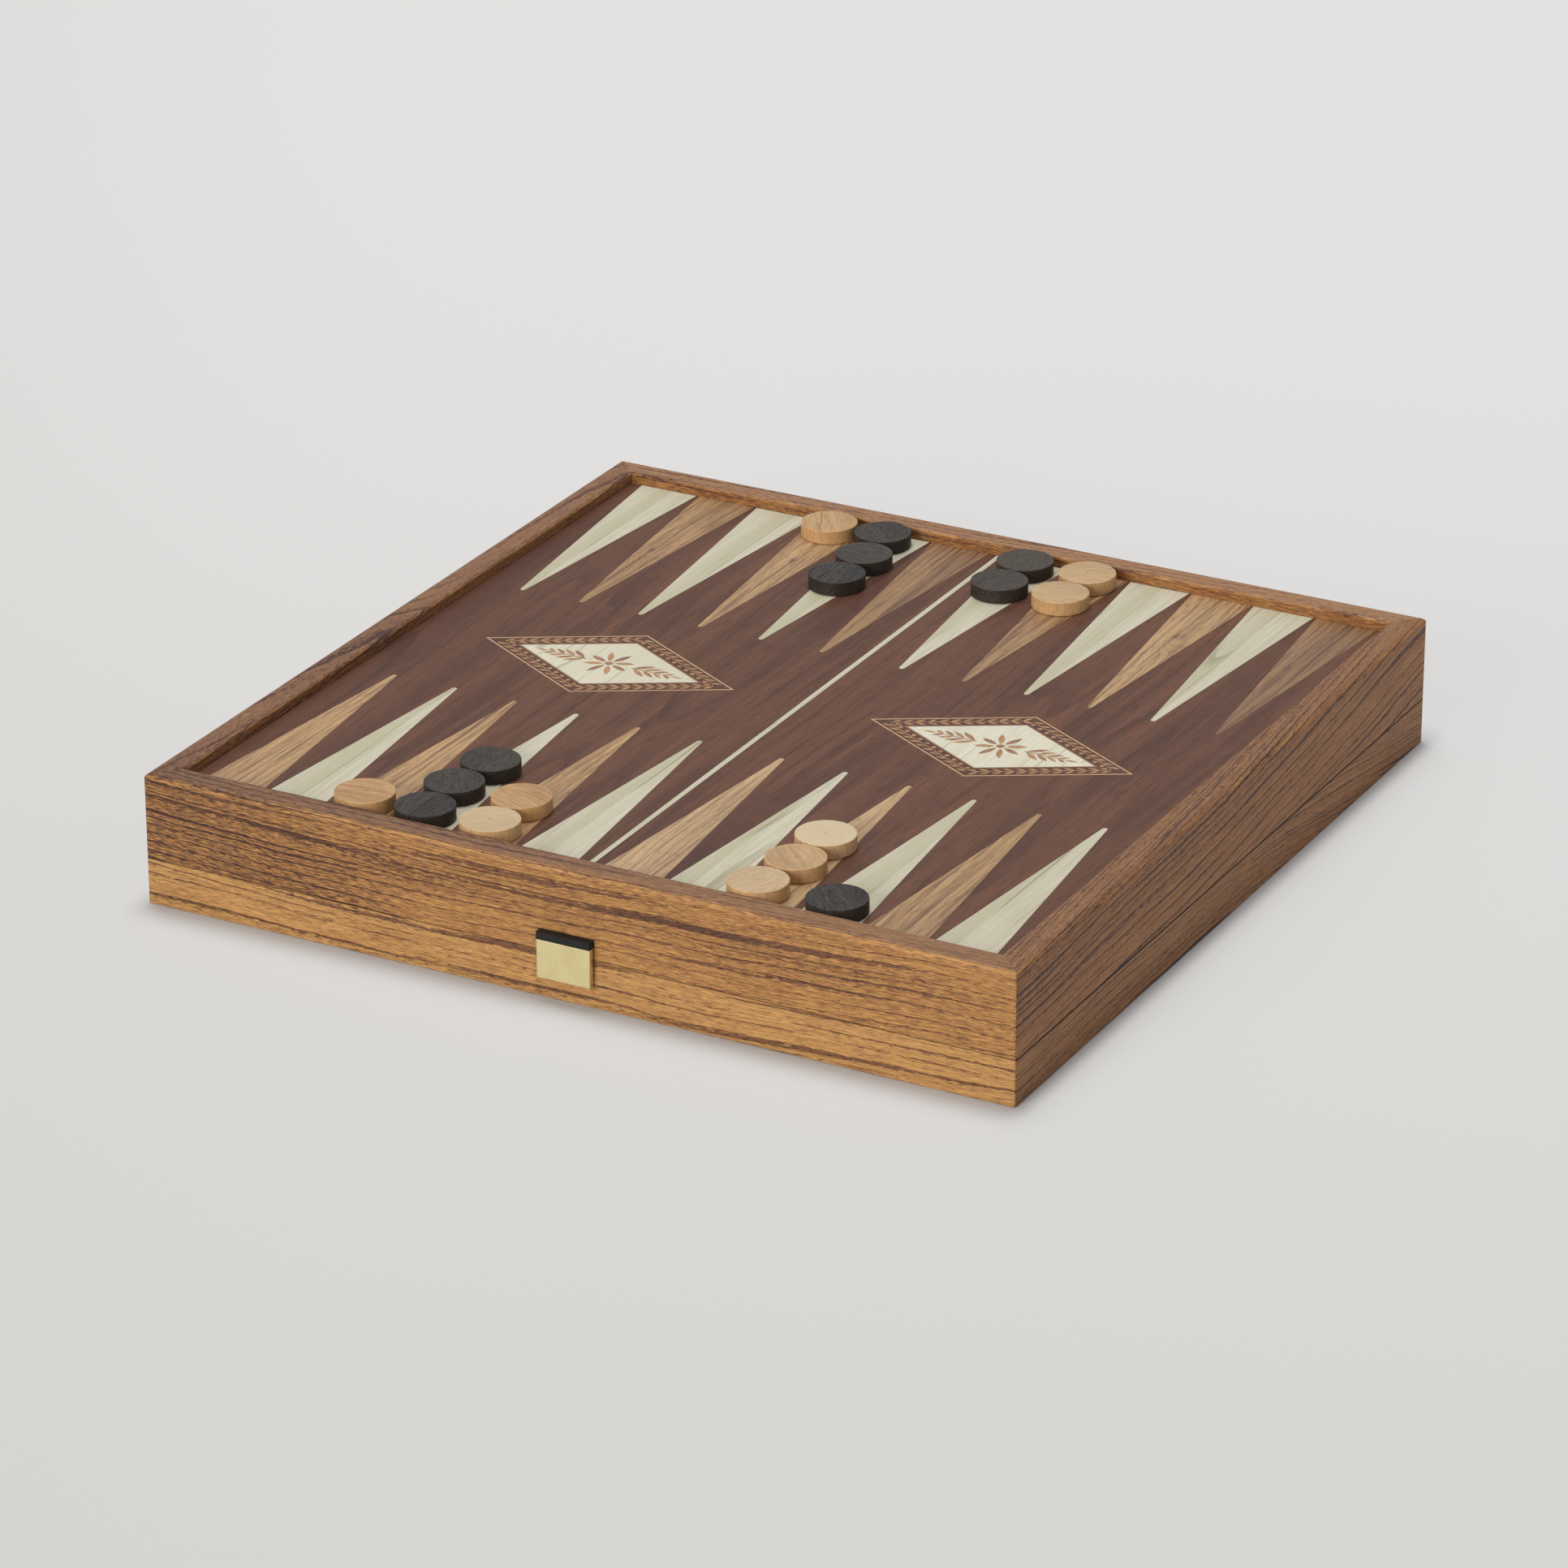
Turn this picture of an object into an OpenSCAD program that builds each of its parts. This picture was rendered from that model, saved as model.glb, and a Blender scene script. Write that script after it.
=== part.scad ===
// Hinged wooden backgammon box. The deep lid carries the playing field in a shallow tray on its
// top, and the low base under it stores the spare checkers and the dice.
// Millimetres. The origin is the centre of the underside, X runs along the clasp side, Y runs
// back to the hinges and Z is up.

/* [Box] */
// Side of the square box
box_side = 410; // [390:1:450]
// Height of the base, from the underside to the seam
base_h = 21; // [19:0.5:28]
// Height of the lid, from the seam to the top of the rim
lid_h = 39; // [38:0.5:55]
// Thickness of the walls, which is the width of the rim
wall_t = 13; // [12:0.5:16]
// Radius of the outer top edge of the rim
rim_round = 3; // [1:0.5:4]
// Radius of the inner top edge of the rim
rim_inner_round = 1.5; // [0.5:0.25:2]
// Radius of the upright corners
corner_round = 1.5; // [0.5:0.25:3]
// Chamfer along the seam and along the bottom edge
edge_ease = 0.5; // [0.2:0.1:1]

/* [Panels] */
// Thickness of the floor of the base
floor_t = 4; // [3:0.5:5]
// How far the floor reaches into its rebate in the walls
floor_lap = 6; // [3:0.5:8]
// Thickness of the panel under the playing field
panel_t = 5; // [4:0.5:7]
// How far the panel reaches into its groove in the walls
panel_lap = 5; // [3:0.5:7]
// Depth of the playing field below the top of the rim
field_depth = 5.2; // [4.8:0.2:7]
// Thickness of the field's veneer and of its inlays
veneer_t = 0.6; // [0.5:0.1:1]
// Thickness of the felt linings
lining_t = 1; // [0.6:0.1:1.5]

/* [Points] */
// Length of a point, from the edge of the field to its tip
point_len = 137; // [110:1:145]
// Radius of the tip of a point
point_tip_r = 1.2; // [0.5:0.1:2]
// Gap between neighbouring points at the edge of the field
point_gap = 1.4; // [0.6:0.1:3]
// Gap between the last point and the rim
side_margin = 5.7; // [2:0.1:9]
// Gap between the first point and the centre line
strip_margin = 5.3; // [3:0.1:9]
// Width of the centre strip
strip_w = 2.5; // [1.5:0.1:4]

/* [Medallions] */
// Length of a medallion along X, corner to corner
medallion_len = 125; // [90:1:150]
// Width of a medallion along Y, corner to corner
medallion_w = 70.6; // [50:0.2:76]
// Width of a medallion's border, lines included
medallion_band = 8.8; // [6:0.2:11]
// Width of the thin line on each side of the border
medallion_line = 0.8; // [0.5:0.1:1.2]

/* [Checkers] */
// Diameter of a checker
checker_d = 26; // [22:0.5:27]
// Thickness of a checker
checker_t = 6.5; // [5:0.5:8]
// Radius of the edges of a checker
checker_round = 0.5; // [0.3:0.1:1]
// Gap between the checkers on one point, and from the first one to the rim
checker_gap = 0.4; // [0.3:0.1:1.5]
// Checkers that each player has in all
checker_count = 15; // [15:1:16]

/* [Storage] */
// Thickness of the dividers and the stops
divider_t = 5; // [3:0.5:8]
// Height of the dividers and the stops above the lining
divider_h = 14; // [10:0.5:18]
// Play of the stored checkers across their trough and along their bay
bay_play = 2; // [1:0.5:4]
// Gap between the stored checkers
stack_gap = 0.1; // [0.05:0.05:0.3]
// Side of a die
die_side = 12; // [10:0.5:14]
// Distance between the middles of the two dice
dice_pitch = 20; // [18:1:30]

/* [Hinges] */
// Distance of each hinge from the nearer side of the box
hinge_inset = 75; // [50:5:120]
// Width of a hinge
hinge_w = 30; // [24:1:40]
// Height of each leaf from the seam
leaf_h = 11; // [9:0.5:14]
// Thickness of a leaf
leaf_t = 1.2; // [1:0.1:1.6]
// Outer radius of the barrel
barrel_r = 2.2; // [2:0.1:2.6]
// Radius of the hinge pin
pin_r = 0.9; // [0.7:0.1:1.2]
// Distance of the pin behind the back of the box
pin_out = 1.8; // [1.6:0.1:2.2]
// Distance of each leaf from the seam
leaf_gap = 0.1; // [0.05:0.05:0.3]
// Distance between the two screws of a leaf
leaf_screw_pitch = 18; // [14:1:20]
// Length of the leaf screws
leaf_screw_len = 9; // [6:0.5:10]

/* [Clasp] */
// Width of the clasp
clasp_w = 25.5; // [22:0.5:34]
// How far the clasp stands out from the front
clasp_t = 4; // [3.6:0.1:5]
// Height of the clasp above the seam
clasp_up = 10; // [9:0.5:14]
// Height of the clasp below the seam
clasp_down = 10.5; // [9.5:0.5:16]
// Height of the metal cap above the seam
cap_up = 6.8; // [6.4:0.1:8.5]
// Thickness of the metal cap
cap_t = 0.6; // [0.4:0.1:0.8]
// Gap between the sides of the cap and the wall
cap_off = 0.8; // [0.4:0.1:1.2]
// Radius of the clasp's upright edges
cap_round = 0.8; // [0.4:0.1:1.2]
// How much further than the cap the clasp's black head stands out
head_proud = 0.2; // [0:0.1:0.5]
// Diameter of the magnet and of the steel disc that it holds to
magnet_d = 8; // [6:0.5:8.5]
// Thickness of the magnet
magnet_t = 2; // [1.5:0.1:2.4]
// Thickness of the steel disc
keeper_t = 1.5; // [1:0.1:3]
// Distance between the two clasp screws
clasp_screw_pitch = 14; // [10:0.5:16]
// Height of the clasp screws above the seam
clasp_screw_up = 3.8; // [3:0.1:4.2]
// Length of the clasp screws
clasp_screw_len = 12; // [9:0.5:14]

/* [Screws] */
// Radius of a screw head
screw_head_r = 2.1; // [1.8:0.1:2.4]
// Radius of a screw shank
screw_r = 1; // [0.8:0.1:1.2]
// Width of the slot in a screw head
slot_w = 0.5; // [0.4:0.1:0.8]
// Thickness of the leaf or the cap that is left beside a countersunk head
head_web = 0.1; // [0.05:0.05:0.3]

/* [Fits] */
// Gap round each inlay
inlay_gap = 0.1; // [0.05:0.05:0.2]
// Gap between the veneer and the rim
rim_gap = 0.3; // [0.1:0.1:0.6]
// Radial play of pins, screws and discs in their holes
round_play = 0.05; // [0.03:0.01:0.1]
// Gap between neighbouring knuckles, and round a barrel or a leaf in the wood
hinge_play = 0.3; // [0.2:0.05:0.5]
// Gap between the clasp and the base
clasp_play = 0.3; // [0.2:0.1:0.6]

/* [Hidden] */
$fn = 64;
eps = 0.01;
cut = 2;

walnut = [0.62, 0.43, 0.27];
mahogany = [0.36, 0.25, 0.22];
maple = [0.80, 0.78, 0.68];
oak = [0.68, 0.52, 0.37];
beech = [0.84, 0.70, 0.50];
ebony = [0.17, 0.16, 0.16];
brass = [0.79, 0.71, 0.50];
felt = [0.12, 0.20, 0.16];
steel = [0.62, 0.62, 0.64];
rubber_black = [0.12, 0.12, 0.12];
plywood = [0.70, 0.58, 0.42];

half_side = box_side / 2;
inner = half_side - wall_t;
seam_z = base_h;
top_z = base_h + lid_h;
field_z = top_z - field_depth;
veneer_z = field_z - veneer_t;
panel_z = veneer_z - panel_t;
veneer_half = inner - rim_gap;
store_z = floor_t + lining_t;

points_per_half = 6;
point_w = (inner - strip_margin - side_margin - (points_per_half - 1) * point_gap) / points_per_half;
point_pitch = point_w + point_gap;
first_point_x = strip_margin + point_w / 2;
medallion_x = first_point_x + (points_per_half - 1) / 2 * point_pitch;

trough_w = checker_d + bay_play;
trough_y = inner - trough_w / 2;
bay_len = checker_count * (checker_t + stack_gap) + bay_play;
end_stop_x = divider_t + bay_len;

hinge_x = half_side - hinge_inset;
pin_y = half_side + pin_out;
knuckle_count = 3;
knuckle_w = (hinge_w - (knuckle_count - 1) * hinge_play) / knuckle_count;
countersink_h = leaf_t - head_web;
// Height of the leaf screws, as a share of the height of the leaf
leaf_screw_share = 0.6;
keeper_z = seam_z - clasp_down / 2;

// Where the checkers stand: the row, the point from left to right, the place on that point
// counted from the rim, and how far off the middle of the point the player set it down, as a
// share of the room between two checkers side by side
FRONT = -1;
BACK = 1;
DARK_CHECKERS = [
    [BACK, 5, 0, -0.64], [BACK, 5, 1, 0.28], [BACK, 5, 2, 0.28],
    [BACK, 7, 0, -0.1], [BACK, 7, 1, -0.05],
    [FRONT, 4, 0, -0.45], [FRONT, 4, 1, -0.8], [FRONT, 4, 2, -0.3],
    [FRONT, 10, 0, 0]
];
LIGHT_CHECKERS = [
    [BACK, 4, 0, 0],
    [BACK, 8, 0, 0.1], [BACK, 8, 1, -0.05],
    [FRONT, 3, 0, -0.2],
    [FRONT, 5, 0, -0.25], [FRONT, 5, 1, -0.3],
    [FRONT, 9, 0, -1.35], [FRONT, 9, 1, -0.6], [FRONT, 9, 2, -0.6]
];

// Outline of the whole box seen from above, with its upright corners rounded
module box_outline() {
    straight = box_side - 2 * corner_round;
    square([box_side, straight], center = true);
    square([straight, box_side], center = true);
    for (x = [-1, 1], y = [-1, 1])
        translate([x * straight / 2, y * straight / 2]) circle(corner_round);
}

// Ground that one wall stands on, mitred at both ends
module mitre_outline() {
    polygon([
        [-half_side, -half_side], [half_side, -half_side],
        [inner, -inner], [-inner, -inner]
    ]);
}

// Section of a base wall: across its thickness from the outside, and up
module base_section() {
    difference() {
        polygon([
            [edge_ease, 0], [wall_t, 0], [wall_t, base_h],
            [edge_ease, base_h], [0, base_h - edge_ease], [0, edge_ease]
        ]);
        translate([wall_t - floor_lap, -cut]) square([floor_lap + cut, floor_t + cut]);
    }
}

// Section of a lid wall, with its rounded rim and the groove for the panel
module lid_section() {
    difference() {
        union() {
            polygon([
                [edge_ease, seam_z], [wall_t, seam_z], [wall_t, top_z - rim_inner_round],
                [wall_t - rim_inner_round, top_z], [rim_round, top_z],
                [0, top_z - rim_round], [0, seam_z + edge_ease]
            ]);
            translate([rim_round, top_z - rim_round]) circle(rim_round);
            translate([wall_t - rim_inner_round, top_z - rim_inner_round]) circle(rim_inner_round);
        }
        translate([wall_t - panel_lap, panel_z]) square([panel_lap + cut, panel_t]);
    }
}

// Straight wall along the front, with the section that is its child
module mitred_wall() {
    intersection() {
        translate([-half_side, 0, 0])
            rotate([90, 0, 90])
                linear_extrude(box_side) translate([-half_side, 0]) children();
        linear_extrude(top_z + cut) mitre_outline();
        linear_extrude(top_z + cut) box_outline();
    }
}

module base_wall(turn) {
    color(walnut) rotate([0, 0, turn]) mitred_wall() base_section();
}

module lid_wall(turn) {
    color(walnut) rotate([0, 0, turn]) mitred_wall() lid_section();
}

// Cylinder along X, centred on the hinge axis of the hinge at x
module hinge_cylinder(x, length, radius) {
    translate([x - length / 2, pin_y, seam_z]) rotate([0, 90, 0]) cylinder(h = length, r = radius);
}

// Room in the back walls for the leaf and the barrel of the hinge at x; up is 1 in the lid
module hinge_mortise(x, up) {
    width = hinge_w + 2 * hinge_play;
    height = leaf_h + hinge_play;
    translate([x - width / 2, half_side - leaf_t, seam_z + (up > 0 ? -cut : -height)])
        cube([width, leaf_t + cut, height + cut]);
    hinge_cylinder(x, width, barrel_r + hinge_play);
}

module leaf_screw_places(x, up) {
    for (side = [-1, 1])
        translate([x + side * leaf_screw_pitch / 2, half_side, seam_z + up * leaf_screw_share * leaf_h])
            rotate([-90, 0, 0]) children();
}

module clasp_screw_places() {
    for (side = [-1, 1])
        translate([side * clasp_screw_pitch / 2, -half_side - clasp_t + cap_t, seam_z + clasp_screw_up])
            rotate([90, 0, 0]) children();
}

// Countersunk screw that points down from its head at z = 0; grown by play for its hole
module screw_body(length, play = 0) {
    tip = screw_r;
    rotate_extrude()
        polygon([
            [0, 0], [screw_head_r + play, 0], [screw_r + play, -countersink_h - play],
            [screw_r + play, -length + tip], [0, -length - play]
        ]);
}

module wood_screw(length) {
    slot_depth = countersink_h / 2;
    difference() {
        screw_body(length);
        translate([-screw_head_r - cut, -slot_w / 2, -slot_depth])
            cube([2 * (screw_head_r + cut), slot_w, slot_depth + cut]);
    }
}

// Base

module base_front_wall() {
    difference() {
        base_wall(0);
        color(walnut) translate([0, -half_side + keeper_t, keeper_z])
            rotate([90, 0, 0]) cylinder(h = keeper_t + cut, d = magnet_d + 2 * round_play);
    }
}

module base_back_wall() {
    difference() {
        base_wall(180);
        for (x = [-hinge_x, hinge_x]) {
            color(walnut) hinge_mortise(x, -1);
            color(walnut) leaf_screw_places(x, -1) screw_body(leaf_screw_len, round_play);
        }
    }
}

module base_floor() {
    side = 2 * (inner + floor_lap - inlay_gap);
    color(plywood) translate([-side / 2, -side / 2, 0]) cube([side, side, floor_t]);
}

module base_lining() {
    side = 2 * (inner - rim_gap);
    color(felt) translate([-side / 2, -side / 2, floor_t]) cube([side, side, lining_t]);
}

// Long divider that closes the trough along the back wall
module trough_divider() {
    color(walnut) translate([-inner, inner - trough_w - divider_t, store_z])
        cube([2 * inner, divider_t, divider_h]);
}

module trough_stop(x) {
    color(walnut) translate([x - divider_t / 2, inner - trough_w, store_z])
        cube([divider_t, trough_w, divider_h]);
}

// Checker lying flat on z = 0
module checker() {
    radius = checker_d / 2;
    rotate_extrude() {
        square([radius - checker_round, checker_t]);
        translate([0, checker_round]) square([radius, checker_t - 2 * checker_round]);
        for (z = [checker_round, checker_t - checker_round])
            translate([radius - checker_round, z]) circle(checker_round);
    }
}

// Checkers standing on edge in their bay, from the centre stop outwards; side is -1 or 1
module stored_checkers(side, count) {
    first = divider_t / 2 + stack_gap;
    for (i = [0:count - 1]) {
        near = first + i * (checker_t + stack_gap);
        translate([side > 0 ? near : -near - checker_t, trough_y, store_z + checker_d / 2 + stack_gap])
            rotate([0, 90, 0]) checker();
    }
}

module stored_dark_checkers() {
    color(ebony) stored_checkers(-1, checker_count - len(DARK_CHECKERS));
}

module stored_light_checkers() {
    color(beech) stored_checkers(1, checker_count - len(LIGHT_CHECKERS));
}

// Places of the pips for one number, in steps of the pip grid
function pip_spots(number) = concat(
    number % 2 == 1 ? [[0, 0]] : [],
    number > 1 ? [[-1, -1], [1, 1]] : [],
    number > 3 ? [[-1, 1], [1, -1]] : [],
    number == 6 ? [[-1, 0], [1, 0]] : []
);

module pips(number) {
    pip_step = die_side / 4;
    pip_r = die_side / 10;
    pip_depth = pip_r / 2;
    for (spot = pip_spots(number))
        translate([spot[0] * pip_step, spot[1] * pip_step, die_side / 2 + pip_r - pip_depth])
            sphere(r = pip_r, $fn = 24);
}

// Die with its middle at the origin; opposite faces add up to seven
module die() {
    face_turns = [[0, 0], [90, 0], [0, 90], [0, -90], [-90, 0], [180, 0]];
    corner_reach = 0.78;
    difference() {
        intersection() {
            cube(die_side, center = true);
            sphere(r = die_side * corner_reach);
        }
        for (number = [1:6])
            rotate([face_turns[number - 1][0], face_turns[number - 1][1], 0]) pips(number);
    }
}

module dice() {
    bay_middle = (end_stop_x + divider_t / 2 + inner) / 2;
    for (side = [-1, 1])
        color(maple)
            translate([side * dice_pitch / 2 - bay_middle, trough_y, store_z + die_side / 2])
                die();
}

// Steel disc in the front of the base that the clasp's magnet holds to
module clasp_keeper() {
    color(steel) translate([0, -half_side + keeper_t, keeper_z])
        rotate([90, 0, 0]) cylinder(h = keeper_t, d = magnet_d);
}

// Hinges

// Middles of the knuckles along X: the base has the outer two, the lid the middle one
function knuckle_places(up) = up > 0 ? [0] : [-knuckle_w - hinge_play, knuckle_w + hinge_play];

// Leaf of the hinge at x, with its knuckles; up is 1 for the lid's leaf and -1 for the base's
module hinge_leaf(x, up) {
    web_h = barrel_r;
    leaf_z = seam_z + (up > 0 ? leaf_gap : -leaf_h);
    web_z = seam_z + (up > 0 ? leaf_gap : -web_h);
    difference() {
        translate([x - hinge_w / 2, half_side - leaf_t, leaf_z])
            cube([hinge_w, leaf_t, leaf_h - leaf_gap]);
        for (place = knuckle_places(-up))
            hinge_cylinder(x + place, knuckle_w + 2 * hinge_play, barrel_r + hinge_play);
        leaf_screw_places(x, up) screw_body(leaf_screw_len, round_play);
    }
    for (place = knuckle_places(up))
        difference() {
            union() {
                hinge_cylinder(x + place, knuckle_w, barrel_r);
                translate([x + place - knuckle_w / 2, half_side - leaf_t, web_z])
                    cube([knuckle_w, pin_out + leaf_t, web_h - leaf_gap]);
            }
            hinge_cylinder(x + place, knuckle_w + cut, pin_r + round_play);
        }
}

module hinge_pin(x) {
    color(brass) hinge_cylinder(x, hinge_w, pin_r);
}

module leaf_screws(up) {
    for (x = [-hinge_x, hinge_x])
        color(brass) leaf_screw_places(x, up) wood_screw(leaf_screw_len);
}

// Lid

module lid_front_wall() {
    difference() {
        lid_wall(0);
        color(walnut) clasp_screw_places() screw_body(clasp_screw_len, round_play);
    }
}

module lid_back_wall() {
    difference() {
        lid_wall(180);
        for (x = [-hinge_x, hinge_x]) {
            color(walnut) hinge_mortise(x, 1);
            color(walnut) leaf_screw_places(x, 1) screw_body(leaf_screw_len, round_play);
        }
    }
}

module playing_panel() {
    side = 2 * (inner + panel_lap - inlay_gap);
    color(plywood) translate([-side / 2, -side / 2, panel_z]) cube([side, side, panel_t]);
}

module lid_lining() {
    side = 2 * (inner - rim_gap);
    color(felt) translate([-side / 2, -side / 2, panel_z - lining_t]) cube([side, side, lining_t]);
}

// Middle of a point, numbered from 1 at the left to 12 at the right
function point_x(number) =
    number > points_per_half
        ? first_point_x + (number - points_per_half - 1) * point_pitch
        : -first_point_x - (points_per_half - number) * point_pitch;

// Outline of a point of the front row, with its base on the edge of the veneer, grown all round
module point_outline(grow = 0) {
    half_w = point_w / 2 + grow;
    tip_r = point_tip_r + grow;
    centre_y = point_len - point_tip_r;
    reach = sqrt(half_w * half_w + centre_y * centre_y);
    slope = acos(tip_r / reach) - atan2(centre_y, half_w);
    tangent = [tip_r * cos(slope), centre_y + tip_r * sin(slope)];
    polygon([[-half_w, 0], [half_w, 0], tangent, [-tangent[0], tangent[1]]]);
    translate([0, centre_y]) circle(tip_r);
    if (grow > 0) translate([-half_w, -cut]) square([2 * half_w, cut + eps]);
}

// Points of one row in numbers of one parity: row is -1 in front, and first is 1 or 2
module point_row(row, first, grow = 0) {
    for (number = [first:2:2 * points_per_half])
        translate([point_x(number), row * veneer_half]) rotate(row > 0 ? 180 : 0) point_outline(grow);
}

module inlay(name_color) {
    color(name_color) translate([0, 0, veneer_z]) linear_extrude(veneer_t) children();
}

// Medallion's outline, drawn in by inset all round
module rhombus(inset) {
    a = medallion_len / 2;
    b = medallion_w / 2;
    scale_in = 1 - inset * sqrt(a * a + b * b) / (a * b);
    polygon([[a * scale_in, 0], [0, b * scale_in], [-a * scale_in, 0], [0, -b * scale_in]]);
}

module rhombus_ring(outer_inset, inner_inset) {
    difference() {
        rhombus(outer_inset);
        rhombus(inner_inset);
    }
}

module both_medallions() {
    for (x = [-medallion_x, medallion_x]) translate([x, 0]) children();
}

module field_veneer() {
    inlay(mahogany) difference() {
        square(2 * veneer_half, center = true);
        for (row = [FRONT, BACK], first = [1, 2]) point_row(row, first, inlay_gap);
        square([strip_w + 2 * inlay_gap, 2 * veneer_half + cut], center = true);
        both_medallions() rhombus(-inlay_gap);
    }
}

module front_oak_points() {
    inlay(oak) point_row(FRONT, 1);
}

module front_pale_points() {
    inlay(maple) point_row(FRONT, 2);
}

module back_pale_points() {
    inlay(maple) point_row(BACK, 1);
}

module back_oak_points() {
    inlay(oak) point_row(BACK, 2);
}

module centre_strip() {
    inlay(maple) square([strip_w, 2 * veneer_half], center = true);
}

module medallion_lines() {
    inlay(oak) both_medallions() {
        rhombus_ring(0, medallion_line);
        rhombus_ring(medallion_band - medallion_line, medallion_band);
    }
}

module medallion_borders() {
    inlay(mahogany) both_medallions()
        rhombus_ring(medallion_line + inlay_gap, medallion_band - medallion_line - inlay_gap);
}

module medallion_centres() {
    inlay(maple) both_medallions() rhombus(medallion_band + inlay_gap);
}

// Clasp

// Clasp's outline from above, with its back on the wall and its front corners rounded
module clasp_outline(depth) {
    straight = clasp_w - 2 * cap_round;
    translate([-clasp_w / 2, -depth + cap_round]) square([clasp_w, depth - cap_round]);
    translate([-straight / 2, -depth]) square([straight, depth]);
    for (x = [-straight / 2, straight / 2])
        translate([x, -depth + cap_round]) circle(cap_round);
}

// Part of the block that the cap wraps
module block_core() {
    translate([-clasp_w / 2 + cap_t, -half_side - clasp_t + cap_t, seam_z - clasp_down + cap_t])
        cube([clasp_w - 2 * cap_t, clasp_t - cap_t, clasp_down - cap_t + cap_up]);
}

module clasp_block() {
    color(rubber_black) difference() {
        union() {
            block_core();
            translate([0, -half_side, seam_z + cap_up])
                linear_extrude(clasp_up - cap_up) clasp_outline(clasp_t + head_proud);
        }
        translate([-clasp_w, -half_side - clasp_play, seam_z - clasp_down - cut])
            cube([2 * clasp_w, clasp_play + cut, clasp_down + cut]);
        translate([0, -half_side + cut, keeper_z])
            rotate([90, 0, 0])
                cylinder(h = magnet_t + clasp_play + cut, d = magnet_d + 2 * round_play);
        clasp_screw_places() screw_body(clasp_screw_len, round_play);
    }
}

module clasp_cap() {
    color(brass) difference() {
        translate([0, -half_side, seam_z - clasp_down])
            linear_extrude(clasp_down + cap_up) clasp_outline(clasp_t);
        block_core();
        translate([-clasp_w, -half_side - cap_off, seam_z - clasp_down - cut])
            cube([2 * clasp_w, cap_off + cut, clasp_down + cap_up + 2 * cut]);
    }
}

module clasp_magnet() {
    color(steel) translate([0, -half_side - clasp_play, keeper_z])
        rotate([90, 0, 0]) cylinder(h = magnet_t, d = magnet_d);
}

module clasp_screws() {
    color(steel) clasp_screw_places() wood_screw(clasp_screw_len);
}

// Checkers in play

// Checker on the field, at a row of one of the lists above
module played_checker(spot) {
    step = checker_d + checker_gap;
    from_middle = inner - checker_gap - checker_d / 2 - spot[2] * step;
    off_middle = spot[3] * (point_pitch - checker_d);
    translate([point_x(spot[1]) + off_middle, spot[0] * from_middle, field_z]) checker();
}

base_front_wall();
base_back_wall();
base_wall(270);  // base_left_wall
base_wall(90);  // base_right_wall
base_floor();
base_lining();
trough_divider();
trough_stop(0);  // centre_stop
trough_stop(-end_stop_x);  // left_stop
trough_stop(end_stop_x);  // right_stop
stored_dark_checkers();
stored_light_checkers();
dice();
color(brass) hinge_leaf(-hinge_x, -1);  // left_base_leaf
color(brass) hinge_leaf(hinge_x, -1);  // right_base_leaf
hinge_pin(-hinge_x);  // left_hinge_pin
hinge_pin(hinge_x);  // right_hinge_pin
leaf_screws(-1);  // base_leaf_screws
clasp_keeper();
lid_front_wall();
lid_back_wall();
lid_wall(270);  // lid_left_wall
lid_wall(90);  // lid_right_wall
playing_panel();
lid_lining();
field_veneer();
front_pale_points();
front_oak_points();
back_pale_points();
back_oak_points();
centre_strip();
medallion_lines();
medallion_borders();
medallion_centres();
color(brass) hinge_leaf(-hinge_x, 1);  // left_lid_leaf
color(brass) hinge_leaf(hinge_x, 1);  // right_lid_leaf
leaf_screws(1);  // lid_leaf_screws
clasp_block();
clasp_cap();
clasp_magnet();
clasp_screws();
for (i = [1:len(DARK_CHECKERS)])
    color(ebony) played_checker(DARK_CHECKERS[i - 1]);
for (i = [1:len(LIGHT_CHECKERS)])
    color(beech) played_checker(LIGHT_CHECKERS[i - 1]);
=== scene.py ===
"""Backgammon box, dressed for rendering around its packed construction model.

Shapes are worked in millimetres, as the construction is, and become metres when a piece is
finished. Materials read metres, so the sizes of a finish are in metres and cells to the metre.
"""

import logging
import math
import random
from dataclasses import dataclass, field
from enum import Enum
from typing import Any, Callable, Dict, List, NamedTuple, Optional, Sequence, Tuple, Union

import bmesh
import bpy
from mathutils import Matrix, Vector

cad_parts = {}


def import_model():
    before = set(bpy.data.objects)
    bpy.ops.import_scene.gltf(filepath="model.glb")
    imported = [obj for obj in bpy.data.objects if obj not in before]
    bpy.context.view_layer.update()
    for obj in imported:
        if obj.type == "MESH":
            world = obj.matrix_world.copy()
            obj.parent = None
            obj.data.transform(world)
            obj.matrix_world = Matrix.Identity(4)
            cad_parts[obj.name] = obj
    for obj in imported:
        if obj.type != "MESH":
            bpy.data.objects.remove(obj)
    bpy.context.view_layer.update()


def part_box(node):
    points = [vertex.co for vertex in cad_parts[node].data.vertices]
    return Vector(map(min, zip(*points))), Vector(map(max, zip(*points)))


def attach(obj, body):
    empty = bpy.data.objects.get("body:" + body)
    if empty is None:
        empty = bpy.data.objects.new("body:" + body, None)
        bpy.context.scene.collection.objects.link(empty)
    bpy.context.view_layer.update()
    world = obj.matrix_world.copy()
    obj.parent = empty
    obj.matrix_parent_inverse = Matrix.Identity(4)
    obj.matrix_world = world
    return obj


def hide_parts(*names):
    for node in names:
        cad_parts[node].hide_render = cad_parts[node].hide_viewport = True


LOG = logging.getLogger("backgammon_box")
MM = 0.001
NEAR = 1e-3
MERGED = 1e-4
LEVEL = 0.9
WELDED = 1e-6
ON_PLANE = 1e-5
SHARP = math.radians(30.0)
SMOOTH = math.radians(32.0)
Colour = Tuple[int, int, int]
Point = Tuple[float, float, float]
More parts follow.
